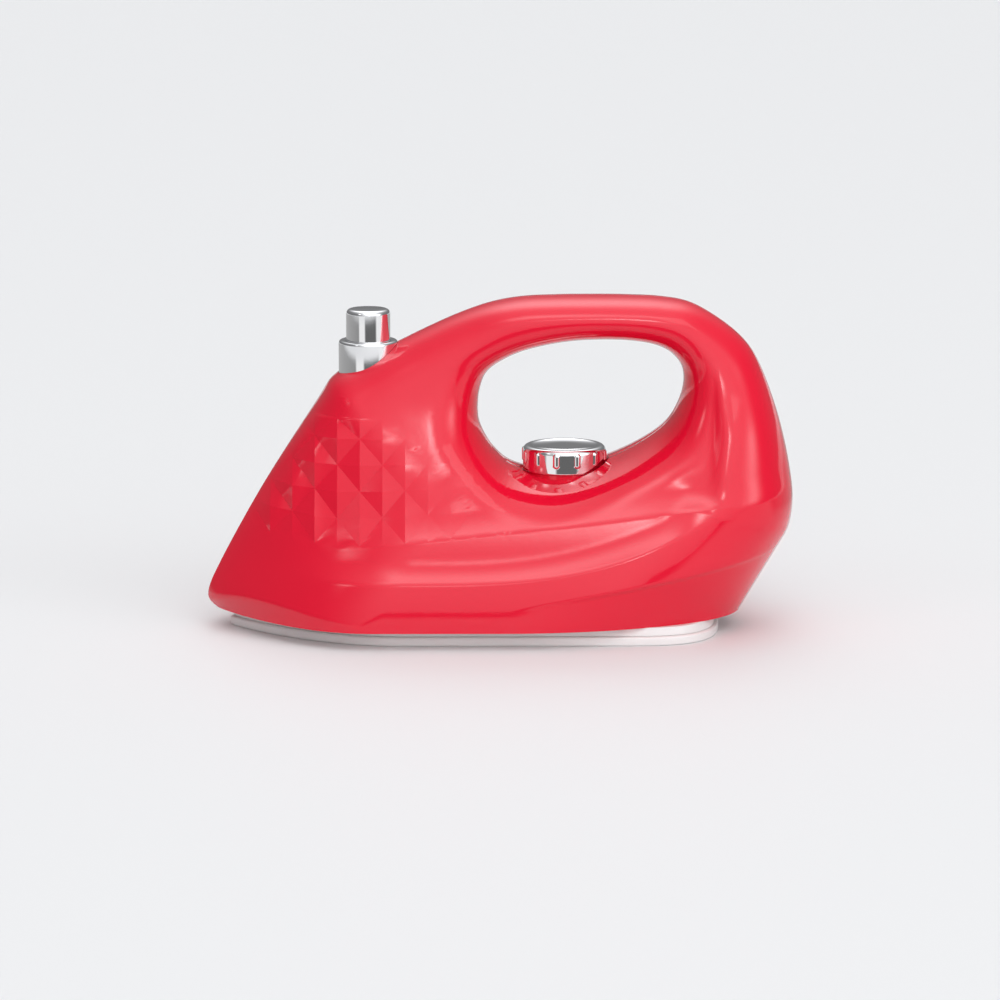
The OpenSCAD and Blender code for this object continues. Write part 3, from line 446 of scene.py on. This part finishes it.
def moulded(name, colour, metal, scale, roughness, grain_scale, grain_strength, grain_depth):
    """Finish with soft variation of the roughness and a fine moulded surface."""
    mat, shader = material(name, colour)
    shader.inputs["Metallic"].default_value = metal
    place = add_node(mat, "ShaderNodeTexCoord")
    cloud = add_node(mat, "ShaderNodeTexNoise", Scale=scale, Detail=CLOUD_DETAIL)
    spread = add_node(mat, "ShaderNodeMapRange", To_Min=roughness[0], To_Max=roughness[1])
    grain = add_node(mat, "ShaderNodeTexNoise", Scale=grain_scale, Detail=GRAIN_DETAIL)
    bump = add_node(mat, "ShaderNodeBump", Strength=grain_strength, Distance=grain_depth)
    link = mat.node_tree.links.new
    link(place.outputs["Object"], cloud.inputs["Vector"])
    link(place.outputs["Object"], grain.inputs["Vector"])
    link(cloud.outputs["Fac"], spread.inputs["Value"])
    link(spread.outputs["Result"], shader.inputs["Roughness"])
    link(grain.outputs["Fac"], bump.inputs["Height"])
    link(bump.outputs["Normal"], shader.inputs["Normal"])
    return mat


FINISH = {slot: moulded(*look) for slot, look in LOOKS.items()}
for part in frame["record"]["subparts"]:
    for holder in frame["nodes"][part["node"]].material_slots:
        holder.material = FINISH[part["material_slot"]]


def finish_piece(obj, name, body, slot, node):
    obj.name = name
    obj.data.materials.clear()
    obj.data.materials.append(FINISH[slot])
    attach(obj, body)
    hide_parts(node)


# Places of the fittings, read from the CAD nodes
def mm_box(node):
    lo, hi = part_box(node)
    return np.array(lo) / MM, np.array(hi) / MM


collar_lo, collar_hi = mm_box("button_collar")
cap_lo, cap_hi = mm_box("button_cap")
dial_lo, dial_hi = mm_box("dial_knob")
button_x = (cap_lo[0] + cap_hi[0]) / 2
dial_x = (dial_lo[0] + dial_hi[0]) / 2
GAP = 0.2
COLLAR_R = 8.4
CAP_R = 6.25
FLANGE_T = 1.6
DIAL_R = 12.25
DIAL_H = 7.0
SPINDLE_R = 3.0
SPINDLE_L = 8.2
PAD_T = 8.0
seat_z = dial_hi[2] - DIAL_H - GAP / 2

# Screws of the shells and of the sole: places on the far half, shank, head and boss
SCREW_SPOTS = [(-64, 17), (-20.5, 66), (66.5, 60), (64, 31)]
SHANK_R = 1.6
HEAD_R = 3.0
BOSS_R = 4.2
BOSS_PAST = 0.5
SEAT_Y = 8.0
FAR_OUT = 45.0

# Half shells: skin, screw bosses and dial pad, then the holes
CORE_INSET = 0.6 * WALL
PAD_R, PLINTH_R, WELL_R = DIAL_R + 2.5, DIAL_R - 1, DIAL_R + 0.5
PLINTH_HALF, PLINTH_TOP = 20, 60
OVER_TOP = 100
shell = shell_mesh("shell")
core = core_mesh("core", CORE_INSET)
bosses = [rod(BOSS_R, (x, -BOSS_PAST, z), (x, BASE_W / 2 - BOSS_PAST, z)) for x, z in SCREW_SPOTS]
dial_pad = rod(PAD_R, (dial_x, 0, seat_z - PAD_T), (dial_x, 0, seat_z + PAD_T))
for tool in [*bosses, dial_pad]:
    boolean(tool, core, "INTERSECT", True)
    boolean(shell, tool, "UNION")
bpy.data.objects.remove(core)
plinth = rod(PLINTH_R, (dial_x, 0, seat_z - PAD_T), (dial_x, 0, seat_z))
one_side = block((dial_x - PLINTH_HALF, 0, 0), (dial_x + PLINTH_HALF, PLINTH_HALF, PLINTH_TOP))
boolean(plinth, one_side, "INTERSECT")
boolean(shell, plinth, "UNION")
cut(shell, rod(COLLAR_R + GAP / 2, (button_x, 0, collar_lo[2] + FLANGE_T), (button_x, 0, OVER_TOP)))
cut(shell, rod(WELL_R, (dial_x, 0, seat_z), (dial_x, 0, seat_z + 2 * DIAL_H)))
cut(shell, rod(SPINDLE_R + GAP / 4, (dial_x, 0, seat_z - PAD_T - 1), (dial_x, 0, seat_z + 1)))

# Lattice of the nose facets: even nodes are corners on the skin, odd ones points that stand out
FACET_X, FACET_W, FACET_TOP, FACET_ROWS = -39.5, 6.4, 62.3, 5
FACET_FIRST, FACET_LAST = -7, 6
FACET_SHORT = 0.75
FACET_RELIEF = 0.9
RELIEF_RANGE = (-0.7, 1.0)
NOSE_REACH = 8.0
# The facets fade towards the heel, the slanting end and the nose's edge, and stand out more on the steep nose
FACET_FADE = 0.72
FACET_FADE_SPAN = (-40.0, 22.0)
FACET_END = 2.5
FACET_MARGIN = 3.5
FACET_BOOST = 0.8
FACET_BOOST_SPAN = (-46.0, -12.0)
FLAT_SPAN = (5.0, 6.0)
# Part of the skin that is cut: its ends, top, room under the crease and distance from the outline
CUT_X0, CUT_X1, CUT_TOP, CUT_ROOM, CUT_EDGE = -82.0, 2.0, 67.0, 4.0, 0.4
SKIN_DEPTH = 0.4 * WALL
# First slanting lines of the lattice, falling and rising, and a line just over its top row
FALLING_FIRST, RISING_FIRST = -4, -6
TOP_LIP = 0.04
CUT_SLACK, SHARE_SLACK = 1e-4, 2e-3
BORDER_ANGLE = math.radians(4)
SHARP_ANGLE = math.radians(48)


def lattice(x, z):
    """Place on the lattice; the top row is shorter than the others."""
    foot = panel_line(x)
    whole = FACET_ROWS - 1
    row = (whole + FACET_SHORT) * (z - foot) / (FACET_TOP - foot)
    return (x - FACET_X) / FACET_W, np.where(row > whole, whole + (row - whole) / FACET_SHORT, row)


def off_lattice(u, v):
    x = FACET_X + FACET_W * u
    foot = panel_line(x)
    whole = FACET_ROWS - 1
    row = np.where(v > whole, whole + (v - whole) * FACET_SHORT, v)
    return x, foot + (FACET_TOP - foot) * row / (whole + FACET_SHORT)


def nose_edge(z):
    x_keys, z_keys = zip(*NOSE_KEYS)
    return np.interp(z, z_keys, x_keys)


def facet_nodes():
    """Place and rise of every node; past the nose's edge the skin is taken as its own mirror image."""
    columns = range(FACET_FIRST, FACET_LAST + 1)
    nodes = [(i, j) for i in columns for j in range(FACET_ROWS + 1) if i + j <= FACET_LAST]
    i, j = np.array(nodes, float).T
    flat = np.stack(off_lattice(i, j), 1)
    beyond = flat[:, 0] < nose_edge(flat[:, 1])
    edge = np.stack([nose_edge(flat[:, 1]), flat[:, 1]], 1)
    width = np.where(beyond, -1, 1) * half_width(np.where(beyond[:, None], 2 * edge - flat, flat))
    rise = FACET_RELIEF * ((i + j) % 2 == 1) * (j > 0)
    return {n: (np.array((p[0], y, p[1])), r) for n, p, y, r in zip(nodes, flat, width, rise)
        if p[0] > nose_edge(p[1]) - NOSE_REACH}


def facet_triangles(found):
    rows = []
    for i in range(FACET_FIRST, FACET_LAST + 1):
        for j in range(FACET_ROWS):
            if (i + j) % 2 == 0:
                pair = [((i, j), (i + 1, j + 1), (i + 1, j)), ((i, j), (i + 1, j + 1), (i, j + 1))]
            else:
                pair = [((i + 1, j), (i, j + 1), (i, j)), ((i + 1, j), (i, j + 1), (i + 1, j + 1))]
            rows += [t for t in pair if all(n in found for n in t)]
    return rows


def border_sides(triangles):
    """Sides that only one triangle has."""
    counted = {}
    for tri in triangles:
        for k in range(3):
            side = frozenset((tri[k], tri[(k + 1) % 3]))
            counted[side] = counted.get(side, 0) + 1
    return {side for side, count in counted.items() if count == 1}


def shares(tri, uv):
    """Weights of a triangle's three corners at each place of the lattice."""
    a, b, c = (np.array(n, float) for n in tri)
    d = (b[1] - c[1]) * (a[0] - c[0]) + (c[0] - b[0]) * (a[1] - c[1])
    wa = ((b[1] - c[1]) * (uv[:, 0] - c[0]) + (c[0] - b[0]) * (uv[:, 1] - c[1])) / d
    wb = ((c[1] - a[1]) * (uv[:, 0] - c[0]) + (a[0] - c[0]) * (uv[:, 1] - c[1])) / d
    return np.stack([wa, wb, 1 - wa - wb], 1)


def cut_lattice(bm):
    """Cuts the lattice into the panel's outer skin and returns its faces, which stay in lattice units."""
    co = np.array([v.co for v in bm.verts]) / MM
    x, z = co[:, 0], co[:, 2]
    flat = co[:, [0, 2]]
    near = (x > CUT_X0) & (x < CUT_X1) & (z > panel_line(x) - CUT_ROOM) & (z < CUT_TOP)
    near[near] &= distance(flat[near], OUTLINE) > CUT_EDGE
    near[near] &= co[near, 1] > half_width(flat[near]) - SKIN_DEPTH
    for f in bm.faces:
        f.material_index = int(all(near[v.index] for v in f.verts))
    for v in [v for v in bm.verts if any(f.material_index for f in v.link_faces)]:
        u, w = lattice(v.co.x / MM, v.co.z / MM)
        v.co = (u, v.co.y, float(w))
    last = FACET_LAST // 2 + 1
    cuts = [((k, 0, 0), (1, 0, 0)) for k in range(FACET_FIRST, FACET_LAST + 1)]
    cuts += [((0, 0, k), (0, 0, 1)) for k in [*range(FACET_ROWS + 1), FACET_ROWS + TOP_LIP]]
    cuts += [((2 * k, 0, 0), (1, 0, 1)) for k in range(FALLING_FIRST, last)]
    cuts += [((2 * k, 0, 0), (1, 0, -1)) for k in range(RISING_FIRST, last)]
    for place, normal in cuts:
        faces = [f for f in bm.faces if f.material_index]
        geom = dict.fromkeys(item for f in faces for item in (f, *f.edges, *f.verts))
        bmesh.ops.bisect_plane(bm, geom=list(geom), dist=CUT_SLACK, plane_co=place,
            plane_no=Vector(normal).normalized())
    return [f for f in bm.faces if f.material_index]


def facet_places(uv, triangles, found):
    """Places of lattice points on the facets, and on the skin where there is no facet."""
    x, z = off_lattice(uv[:, 0], uv[:, 1])
    flat = np.stack([x, z], 1)
    surface = half_width(flat)
    place = np.stack([x, surface, z], 1)
    edge = distance(flat, OUTLINE)
    strength = (1 - FACET_FADE * fade(x, *FACET_FADE_SPAN)) * fade(edge, 0, FACET_MARGIN)
    strength *= fade(FACET_LAST - uv[:, 0] - uv[:, 1], 0, FACET_END)
    strength *= 1 + FACET_BOOST * fade(x, *FACET_BOOST_SPAN)
    flatness = fade(edge, *FLAT_SPAN)
    borders = border_sides(triangles)
    for tri in triangles:
        skin_at = np.array([found[n][0] for n in tri])
        rise = np.array([found[n][1] for n in tri])
        w = shares(tri, uv)
        inside = w.min(1) > -SHARE_SLACK
        w = w[inside]
        spot = w @ skin_at
        sag = surface[inside] - spot[:, 1]
        bend = np.zeros(len(sag))
        for k in range(3):
            if frozenset((tri[(k + 1) % 3], tri[(k + 2) % 3])) in borders:
                bend = np.maximum(bend, np.clip(1 - w[:, k], 0, 1) ** 3)
        relief = np.clip(w @ rise - sag * (1 - bend) * flatness[inside], *RELIEF_RANGE)
        spot[:, 1] = surface[inside] + strength[inside] * relief
        place[inside] = spot
    return place


def cut_facets(obj):
    """Cuts the lattice into the outer skin and moves its points onto flat facets with sharp sides."""
    bm = bmesh.new()
    bm.from_mesh(obj.data)
    panel_faces = cut_lattice(bm)
    moved = list(dict.fromkeys(v for f in panel_faces for v in f.verts))
    uv = np.array([(v.co.x, v.co.z) for v in moved])
    middle = np.array([f.calc_center_median() for f in panel_faces])[:, [0, 2]]
    found = facet_nodes()
    triangles = facet_triangles(found)
    owner = np.full(len(panel_faces), -1)
    for number, tri in enumerate(triangles):
        owner[shares(tri, middle).min(1) > 0] = number
    for v, p in zip(moved, facet_places(uv, triangles, found)):
        v.co = Vector(p) * MM
    owner_of = dict(zip(panel_faces, owner))
    for f in bm.faces:
        f.material_index = 0
        f.smooth = True
    for e in [e for e in bm.edges if len(e.link_faces) == 2]:
        a, b = (owner_of.get(f, -1) for f in e.link_faces)
        angle = e.calc_face_angle()
        border = min(a, b) == -1 and angle < BORDER_ANGLE
        e.smooth = bool((a == b or border) and angle < SHARP_ANGLE)
    bm.to_mesh(obj.data)
    bm.free()


far = bpy.data.objects.new("far", shell.data.copy())
scene.collection.objects.link(far)
for x, z in SCREW_SPOTS:
    cut(far, rod(SHANK_R, (x, -1, z), (x, SEAT_Y + 1, z)))
    cut(far, rod(HEAD_R, (x, SEAT_Y, z), (x, FAR_OUT, z)))
cut_facets(shell)
cut_facets(far)
shell.data.transform(((1, 0, 0, 0), (0, -1, 0, 0), (0, 0, 1, 0), (0, 0, 0, 1)))
shell.data.flip_normals()
finish_piece(shell, "red_shell_near", "housing", "red_plastic", "body_left")
finish_piece(far, "red_shell_far", "housing", "red_plastic", "body_right")

# Sole: a beaded lip and a band lofted from the CAD plan, with the CAD model's own inside above it
SOLE_X0, SOLE_L, SOLE_W = -76.75, 139.0, 64.0
SOLE_X1 = SOLE_X0 + SOLE_L
SOLE_NOSE_L, SOLE_NOSE_POWER = 48.0, 0.8
SOLE_HEEL_L = 26.0
SOLE_STEPS = 120
LIP_IN, LIP_H, BAND_IN, BEAD = 0.6, 2.6, 1.5, 0.25


def sole_half(x, inset):
    nose = np.sin(np.pi / 2 * np.clip((x - SOLE_X0 - inset) / SOLE_NOSE_L, 0, 1)) ** SOLE_NOSE_POWER
    heel = (1 - (1 - np.clip((SOLE_X1 - inset - x) / SOLE_HEEL_L, 0, 1)) ** 3) ** (1 / 3)
    return (SOLE_W / 2 - inset) * nose * heel


def arc(x, z, r, a, b, n=6):
    """Points of a rounded corner round a centre, as inset and height."""
    turn = np.radians(np.linspace(a, b, n))
    return [(x - r * math.cos(t), z + r * math.sin(t)) for t in turn]


def sole_mesh():
    lip = [(LIP_IN + 0.1, 0.0), *arc(LIP_IN, LIP_IN, LIP_IN, -80, 0)]
    lip += arc(LIP_IN, LIP_H - LIP_IN, LIP_IN, 0, 90)
    groove = [(BAND_IN - BEAD, LIP_H)] + arc(BAND_IN - BEAD, LIP_H + BEAD, -BEAD, 90, 180)
    steps = (1 - np.cos(np.pi * np.arange(SOLE_STEPS + 1) / SOLE_STEPS)) / 2
    points, rings = [], []
    for inset, z in [*lip, *groove, (BAND_IN, BASE_Z - 1), (BAND_IN, BASE_Z)]:
        x = SOLE_X0 + inset + (SOLE_L - 2 * inset) * steps
        y = sole_half(x, inset)
        ring = np.concatenate([np.stack([x, y], 1), np.stack([x, -y], 1)[-2:0:-1]])
        rings.append(len(points) + np.arange(len(ring)))
        points += [(a, b, z) for a, b in ring]
    return new_object("sole", points, [rings[0][::-1], rings[-1]] + walls(rings))


def add_cad_inside(obj, node, z):
    """Joins what a CAD node has above a height to a piece; the height clears the piece's own top face."""
    inside = bmesh.new()
    inside.from_mesh(frame["nodes"][node].data)
    bmesh.ops.remove_doubles(inside, verts=inside.verts, dist=1e-7)
    everything = inside.verts[:] + inside.edges[:] + inside.faces[:]
    sliced = bmesh.ops.bisect_plane(inside, geom=everything, dist=1e-7, plane_co=(0, 0, z * MM),
        plane_no=(0, 0, 1), clear_inner=True)
    rims = [g for g in sliced["geom_cut"] if isinstance(g, bmesh.types.BMEdge)]
    bmesh.ops.triangle_fill(inside, use_beauty=True, normal=(0, 0, -1), edges=rims)
    inside.from_mesh(obj.data)
    inside.to_mesh(obj.data)
    inside.free()


door_lo, door_hi = mm_box("battery_door")
bay_x0, bay_x1 = mm_box("contact_bridge")[0][0], mm_box("contact_terminals")[1][0]
door_screw = mm_box("door_screw")
sole_screws = mm_box("sole_screws")
TONGUE_L, TONGUE_W, TONGUE_T, TONGUE_Y = 1.8, 6.4, 1.2, 9.0
BAY_W = 30.0
SCREW_HEAD_R = 2.8
SCREW_Y_NOSE, SCREW_Y_HEEL = 15.0, 20.5
DOOR_BORE_R = 1.45
ABOVE = 8.0
INSIDE_LIFT = 0.02
SOLE_ANGLE = 32
door_x1 = door_hi[0] - TONGUE_L - GAP
screw_x = (door_screw[0][0] + door_screw[1][0]) / 2

sole = sole_mesh()
cut(sole, block((door_lo[0] - GAP, door_lo[1] - GAP, -1),
    (door_x1 + GAP, door_hi[1] + GAP, door_hi[2] + GAP / 2)))
cut(sole, block((bay_x0, -BAY_W / 2, 1), (bay_x1, BAY_W / 2, ABOVE)))
for side in (-1, 1):
    cut(sole, block((door_x1 - 1, side * TONGUE_Y - TONGUE_W / 2, door_hi[2] - TONGUE_T),
        (door_hi[0] + GAP, side * TONGUE_Y + TONGUE_W / 2, door_hi[2] + GAP / 4)))
    for x, y in [(sole_screws[0][0] + SCREW_HEAD_R, side * SCREW_Y_NOSE),
            (sole_screws[1][0] - SCREW_HEAD_R, side * SCREW_Y_HEEL)]:
        cut(sole, rod(SHANK_R, (x, y, -1), (x, y, ABOVE)))
        cut(sole, rod(HEAD_R, (x, y, -1), (x, y, LIP_H)))
cut(sole, rod(DOOR_BORE_R, (screw_x, 0, 1), (screw_x, 0, ABOVE)))
add_cad_inside(sole, "sole_plate", BASE_Z + INSIDE_LIFT)
smooth_by_angle(sole, SOLE_ANGLE)
finish_piece(sole, "white_sole", "housing", "white_plastic", "sole_plate")


def turned(name, profile, x, sides=144, swell=None):
    """Turned piece about an upright axis, from radius and height; a profile off the axis makes a ring."""
    on_axis = 1e-6
    turn = 2 * np.pi * np.arange(sides) / sides
    points, rings = [], []
    for r, z in profile:
        if r < on_axis:
            rings.append([len(points)] * sides)
            points.append((x, 0, z))
        else:
            rings.append(list(range(len(points), len(points) + sides)))
            radius = r + (swell(r, z, turn) if swell else 0 * turn)
            points += [(x + q * math.cos(t), q * math.sin(t), z) for q, t in zip(radius, turn)]
    if profile[0][0] > on_axis:
        rings.append(rings[0])
    return new_object(name, points, walls(rings))


def corner(r, z, radius, a, b, n=8):
    """Rounded corner of a turned profile round a centre."""
    turn = [math.radians(t) for t in np.linspace(a, b, n)]
    return [(r + radius * math.cos(t), z + radius * math.sin(t)) for t in turn]


# Chrome push button and its collar
STEM_R = 2.5
FLANGE_R = CAP_R + 0.9
CAP_ROUND, CAP_CROWN, CAP_FLAT_R = 1.3, 0.04, 3.2
LIP_R, LIP_L, LIP_ROUND = CAP_R + 0.05, 3.5, 0.35
BORE_R = FLANGE_R + 0.3
COLLAR_ROUND = 0.8
SEAT_R = COLLAR_R + 0.8
TURNED_ANGLE = 40
cap_top, stem_z = cap_hi[2], cap_lo[2]
collar_top, collar_z = collar_hi[2], collar_lo[2]
flange_z = collar_top - LIP_L - GAP / 2 - FLANGE_T
cap = turned("cap", [(0, stem_z), (STEM_R, stem_z), (STEM_R, flange_z), (FLANGE_R, flange_z),
    (FLANGE_R, flange_z + FLANGE_T), (CAP_R, flange_z + FLANGE_T),
    *corner(CAP_R - CAP_ROUND, cap_top - CAP_ROUND - 3 * CAP_CROWN, CAP_ROUND, 0, 84, 12),
    (CAP_FLAT_R, cap_top - CAP_CROWN), (0, cap_top)], button_x)
smooth_by_angle(cap, TURNED_ANGLE)
finish_piece(cap, "chrome_button", "button", "chrome_plating", "button_cap")
collar = turned("collar", [(BORE_R, collar_z), (SEAT_R, collar_z), (SEAT_R, collar_z + FLANGE_T),
    (COLLAR_R, collar_z + FLANGE_T),
    *corner(COLLAR_R - COLLAR_ROUND, collar_top - COLLAR_ROUND, COLLAR_ROUND, 0, 90),
    *corner(LIP_R + LIP_ROUND, collar_top - LIP_ROUND, LIP_ROUND, 90, 180, 5),
    (LIP_R, collar_top - LIP_L), (BORE_R, collar_top - LIP_L)], button_x)
smooth_by_angle(collar, TURNED_ANGLE)
finish_piece(collar, "chrome_collar", "housing", "chrome_plating", "button_collar")

# Chrome dial with raised pills round its rim
RIBS = 12
RIB_PHASE = math.radians(18)
RIB_SIDES = 36
RIB_OUT, RIB_R, RIB_Z, RIB_HALF_L = 0.5, 0.85, 4.0, 1.25
RIM_R = DIAL_R - RIB_OUT
RIM_ROUND, RIM_FOOT, RIM_ROWS = 1.4, 0.4, 44
RIM_SLACK = 0.3
# Dished top, as radius and depth
DISH = [(9.6, 0), (9.3, 0.12), (8.9, 0.3), (4, 0.3), (0, 0.3)]
TIP_R = 1.65
dial_top = dial_hi[2]
dial_base = dial_top - DIAL_H
spindle_z = dial_base - SPINDLE_L


def pills(r, z, turn):
    """How far the pills stand out of the rim at each direction."""
    if r < RIM_R - RIM_SLACK:
        return 0 * turn
    half = np.pi / RIBS
    off = (turn - RIB_PHASE + half) % (2 * half) - half
    along = np.maximum(np.abs(z - (dial_base + RIB_Z)) - RIB_HALF_L, 0)
    away = np.hypot(off * r, along) / RIB_R
    return RIB_OUT * np.sqrt(np.clip(1 - away ** 2, 0, 1))


tip_z = dial_lo[2]
spindle = [(0, tip_z), (TIP_R, tip_z), (TIP_R, spindle_z), (SPINDLE_R, spindle_z), (SPINDLE_R, dial_base)]
rim = corner(RIM_R - RIM_FOOT, dial_base + RIM_FOOT, RIM_FOOT, -90, 0, 5)
rim += [(RIM_R, z) for z in np.linspace(dial_base + RIM_FOOT + 0.1, dial_top - RIM_ROUND - 0.1, RIM_ROWS)]
rim += corner(RIM_R - RIM_ROUND, dial_top - RIM_ROUND, RIM_ROUND, 4, 90, 10)
dish = [(r, dial_top - depth) for r, depth in DISH]
dial = turned("dial", spindle + rim + dish, dial_x, RIB_SIDES * RIBS, pills)
smooth_by_angle(dial, TURNED_ANGLE)
finish_piece(dial, "chrome_dial", "dial", "chrome_plating", "dial_knob")


# Studio: pale floor, soft light and the camera of the photo
def math_node(tree, operation, a, b=0):
    made = tree.nodes.new("ShaderNodeMath")
    made.operation = operation
    for k, value in enumerate((a, b)):
        if isinstance(value, (int, float)):
            made.inputs[k].default_value = value
        else:
            tree.links.new(value, made.inputs[k])
    return made.outputs[0]


def tone_ramp(tree, value, stops):
    """Grey tones over a value from 0 to 1."""
    made = tree.nodes.new("ShaderNodeValToRGB")
    while len(made.color_ramp.elements) < len(stops):
        made.color_ramp.elements.new(0.5)
    for stop, (place, tone) in zip(made.color_ramp.elements, stops):
        stop.position = place
        stop.color = (tone, tone, tone, 1)
    tree.links.new(value, made.inputs["Fac"])
    return made.outputs["Color"]


FLOOR_HALF = 6000
FLOOR_COLOUR = (0.78, 0.78, 0.78)
FLOOR_ROUGHNESS = 0.6
FLOOR_SPECULAR = 0.1
# In mirrored rays the floor is swapped for a painted glow: bright sectors, and darker sectors some way off
# like a studio's flags. This painted reflection shapes the chrome.
MIRROR_GLOW_TONES = [(-180, 0.5), (-52, 0.3), (-47, 0.95), (-22, 0.95), (-16, 0.14), (36, 0.14), (44, 0.95), (85, 0.95),
    (95, 0.4), (180, 0.5)]
MIRROR_GLOW_REACH = [(0.16, 0), (0.25, 1), (0.8, 1), (0.98, 0)]


def floor_material():
    mat, shader = material("pale_floor_painted_mirror_glow", FLOOR_COLOUR)
    shader.inputs["Roughness"].default_value = FLOOR_ROUGHNESS
    shader.inputs["Specular IOR Level"].default_value = FLOOR_SPECULAR
    tree = mat.node_tree
    spot = tree.nodes.new("ShaderNodeSeparateXYZ")
    tree.links.new(tree.nodes.new("ShaderNodeTexCoord").outputs["Object"], spot.inputs[0])
    x, y = spot.outputs["X"], spot.outputs["Y"]
    turn = math_node(tree, "ARCTAN2", x, math_node(tree, "MULTIPLY", y, -1))
    share = math_node(tree, "ADD", math_node(tree, "DIVIDE", turn, 2 * math.pi), 0.5)
    squares = math_node(tree, "ADD", math_node(tree, "POWER", x, 2), math_node(tree, "POWER", y, 2))
    reach = tone_ramp(tree, math_node(tree, "SQRT", squares), MIRROR_GLOW_REACH)
    # Emission seen only in mirrored rays: painted glow and painted dark sectors, a painted reflection for the
    # chrome
    painted_glow = tree.nodes.new("ShaderNodeEmission")
    glow_bands = tone_ramp(tree, share, [(degrees / 360 + 0.5, tone) for degrees, tone in MIRROR_GLOW_TONES])
    tree.links.new(glow_bands, painted_glow.inputs["Color"])
    mirrored = tree.nodes.new("ShaderNodeLightPath").outputs["Is Glossy Ray"]
    either = tree.nodes.new("ShaderNodeMixShader")
    tree.links.new(math_node(tree, "MULTIPLY", reach, mirrored), either.inputs[0])
    tree.links.new(shader.outputs[0], either.inputs[1])
    tree.links.new(painted_glow.outputs[0], either.inputs[2])
    tree.links.new(either.outputs[0], tree.nodes["Material Output"].inputs["Surface"])
    return mat


corners = [(x * FLOOR_HALF, y * FLOOR_HALF, 0) for x, y in ((-1, -1), (1, -1), (1, 1), (-1, 1))]
floor = new_object("floor", corners, [(0, 1, 2, 3)])
floor.data.materials.append(floor_material())

MIDDLE = Vector((0, 0, 0.04))


def around(azimuth, elevation):
    """Direction from the object's middle; azimuth 0 is on the camera's side and grows to the heel."""
    a, e = math.radians(azimuth), math.radians(elevation)
    return Vector((math.sin(a) * math.cos(e), -math.cos(a) * math.cos(e), math.sin(e)))


def aim(obj, target):
    obj.rotation_euler = (Vector(target) - obj.location).to_track_quat("-Z", "Y").to_euler()


def soft_panel(name, azimuth, elevation, away, side, radiance):
    """Square soft light that faces the object."""
    data = bpy.data.lights.new(name, "AREA")
    data.shape = "RECTANGLE"
    data.size, data.size_y, data.energy = side, side, radiance * math.pi * side * side
    obj = bpy.data.objects.new(name, data)
    obj.location = MIDDLE + away * around(azimuth, elevation)
    scene.collection.objects.link(obj)
    aim(obj, MIDDLE)


soft_panel("fill", azimuth=35, elevation=50, away=1.6, side=0.7, radiance=1.0)

# World: an even room with soft lobes of light, each by azimuth, elevation, power and strength
ROOM_LEVEL = 0.2
ROOM_COLOUR = (0.97, 0.98, 1)
LOBES = [(14, 22, 4, 1.3), (100, 86, 5, 1.1), (180, 52, 16, 2.4), (10, 58, 6, 0.3), (5, 31, 400, 7),
    (-50, 34, 250, 3), (56, 18, 40, 3), (-6, 57, 60, 2.5)]


def lobe(tree, direction, azimuth, elevation, power, strength):
    """Soft lobe of light round one direction."""
    dot = tree.nodes.new("ShaderNodeVectorMath")
    dot.operation = "DOT_PRODUCT"
    tree.links.new(direction, dot.inputs[0])
    dot.inputs[1].default_value = around(azimuth, elevation)
    ahead = math_node(tree, "MAXIMUM", dot.outputs["Value"], 0)
    return math_node(tree, "MULTIPLY", math_node(tree, "POWER", ahead, power), strength)


def light_world(world):
    world.use_nodes = True
    tree = world.node_tree
    sky = tree.nodes["Background"]
    sky.inputs["Color"].default_value = (*ROOM_COLOUR, 1)
    direction = tree.nodes.new("ShaderNodeTexCoord").outputs["Generated"]
    level = ROOM_LEVEL
    for values in LOBES:
        level = math_node(tree, "ADD", lobe(tree, direction, *values), level)
    tree.links.new(level, sky.inputs["Strength"])


scene.world = bpy.data.worlds.new("studio")
light_world(scene.world)

# Camera, in metres, with its lens and sensor in millimetres
CAMERA_PLACE = (-0.012, -1.935, 0.402)
CAMERA_AIM = (0.0001, 0, 0.0359)
CAMERA_LENS = 249
CAMERA_SENSOR = 36
CAMERA_NEAR = 0.05
camera = bpy.data.objects.new("camera", bpy.data.cameras.new("camera"))
camera.location = CAMERA_PLACE
camera.data.lens = CAMERA_LENS
camera.data.sensor_width = CAMERA_SENSOR
camera.data.clip_start = CAMERA_NEAR
scene.collection.objects.link(camera)
aim(camera, CAMERA_AIM)
scene.camera = camera
scene.view_settings.view_transform = "Standard"
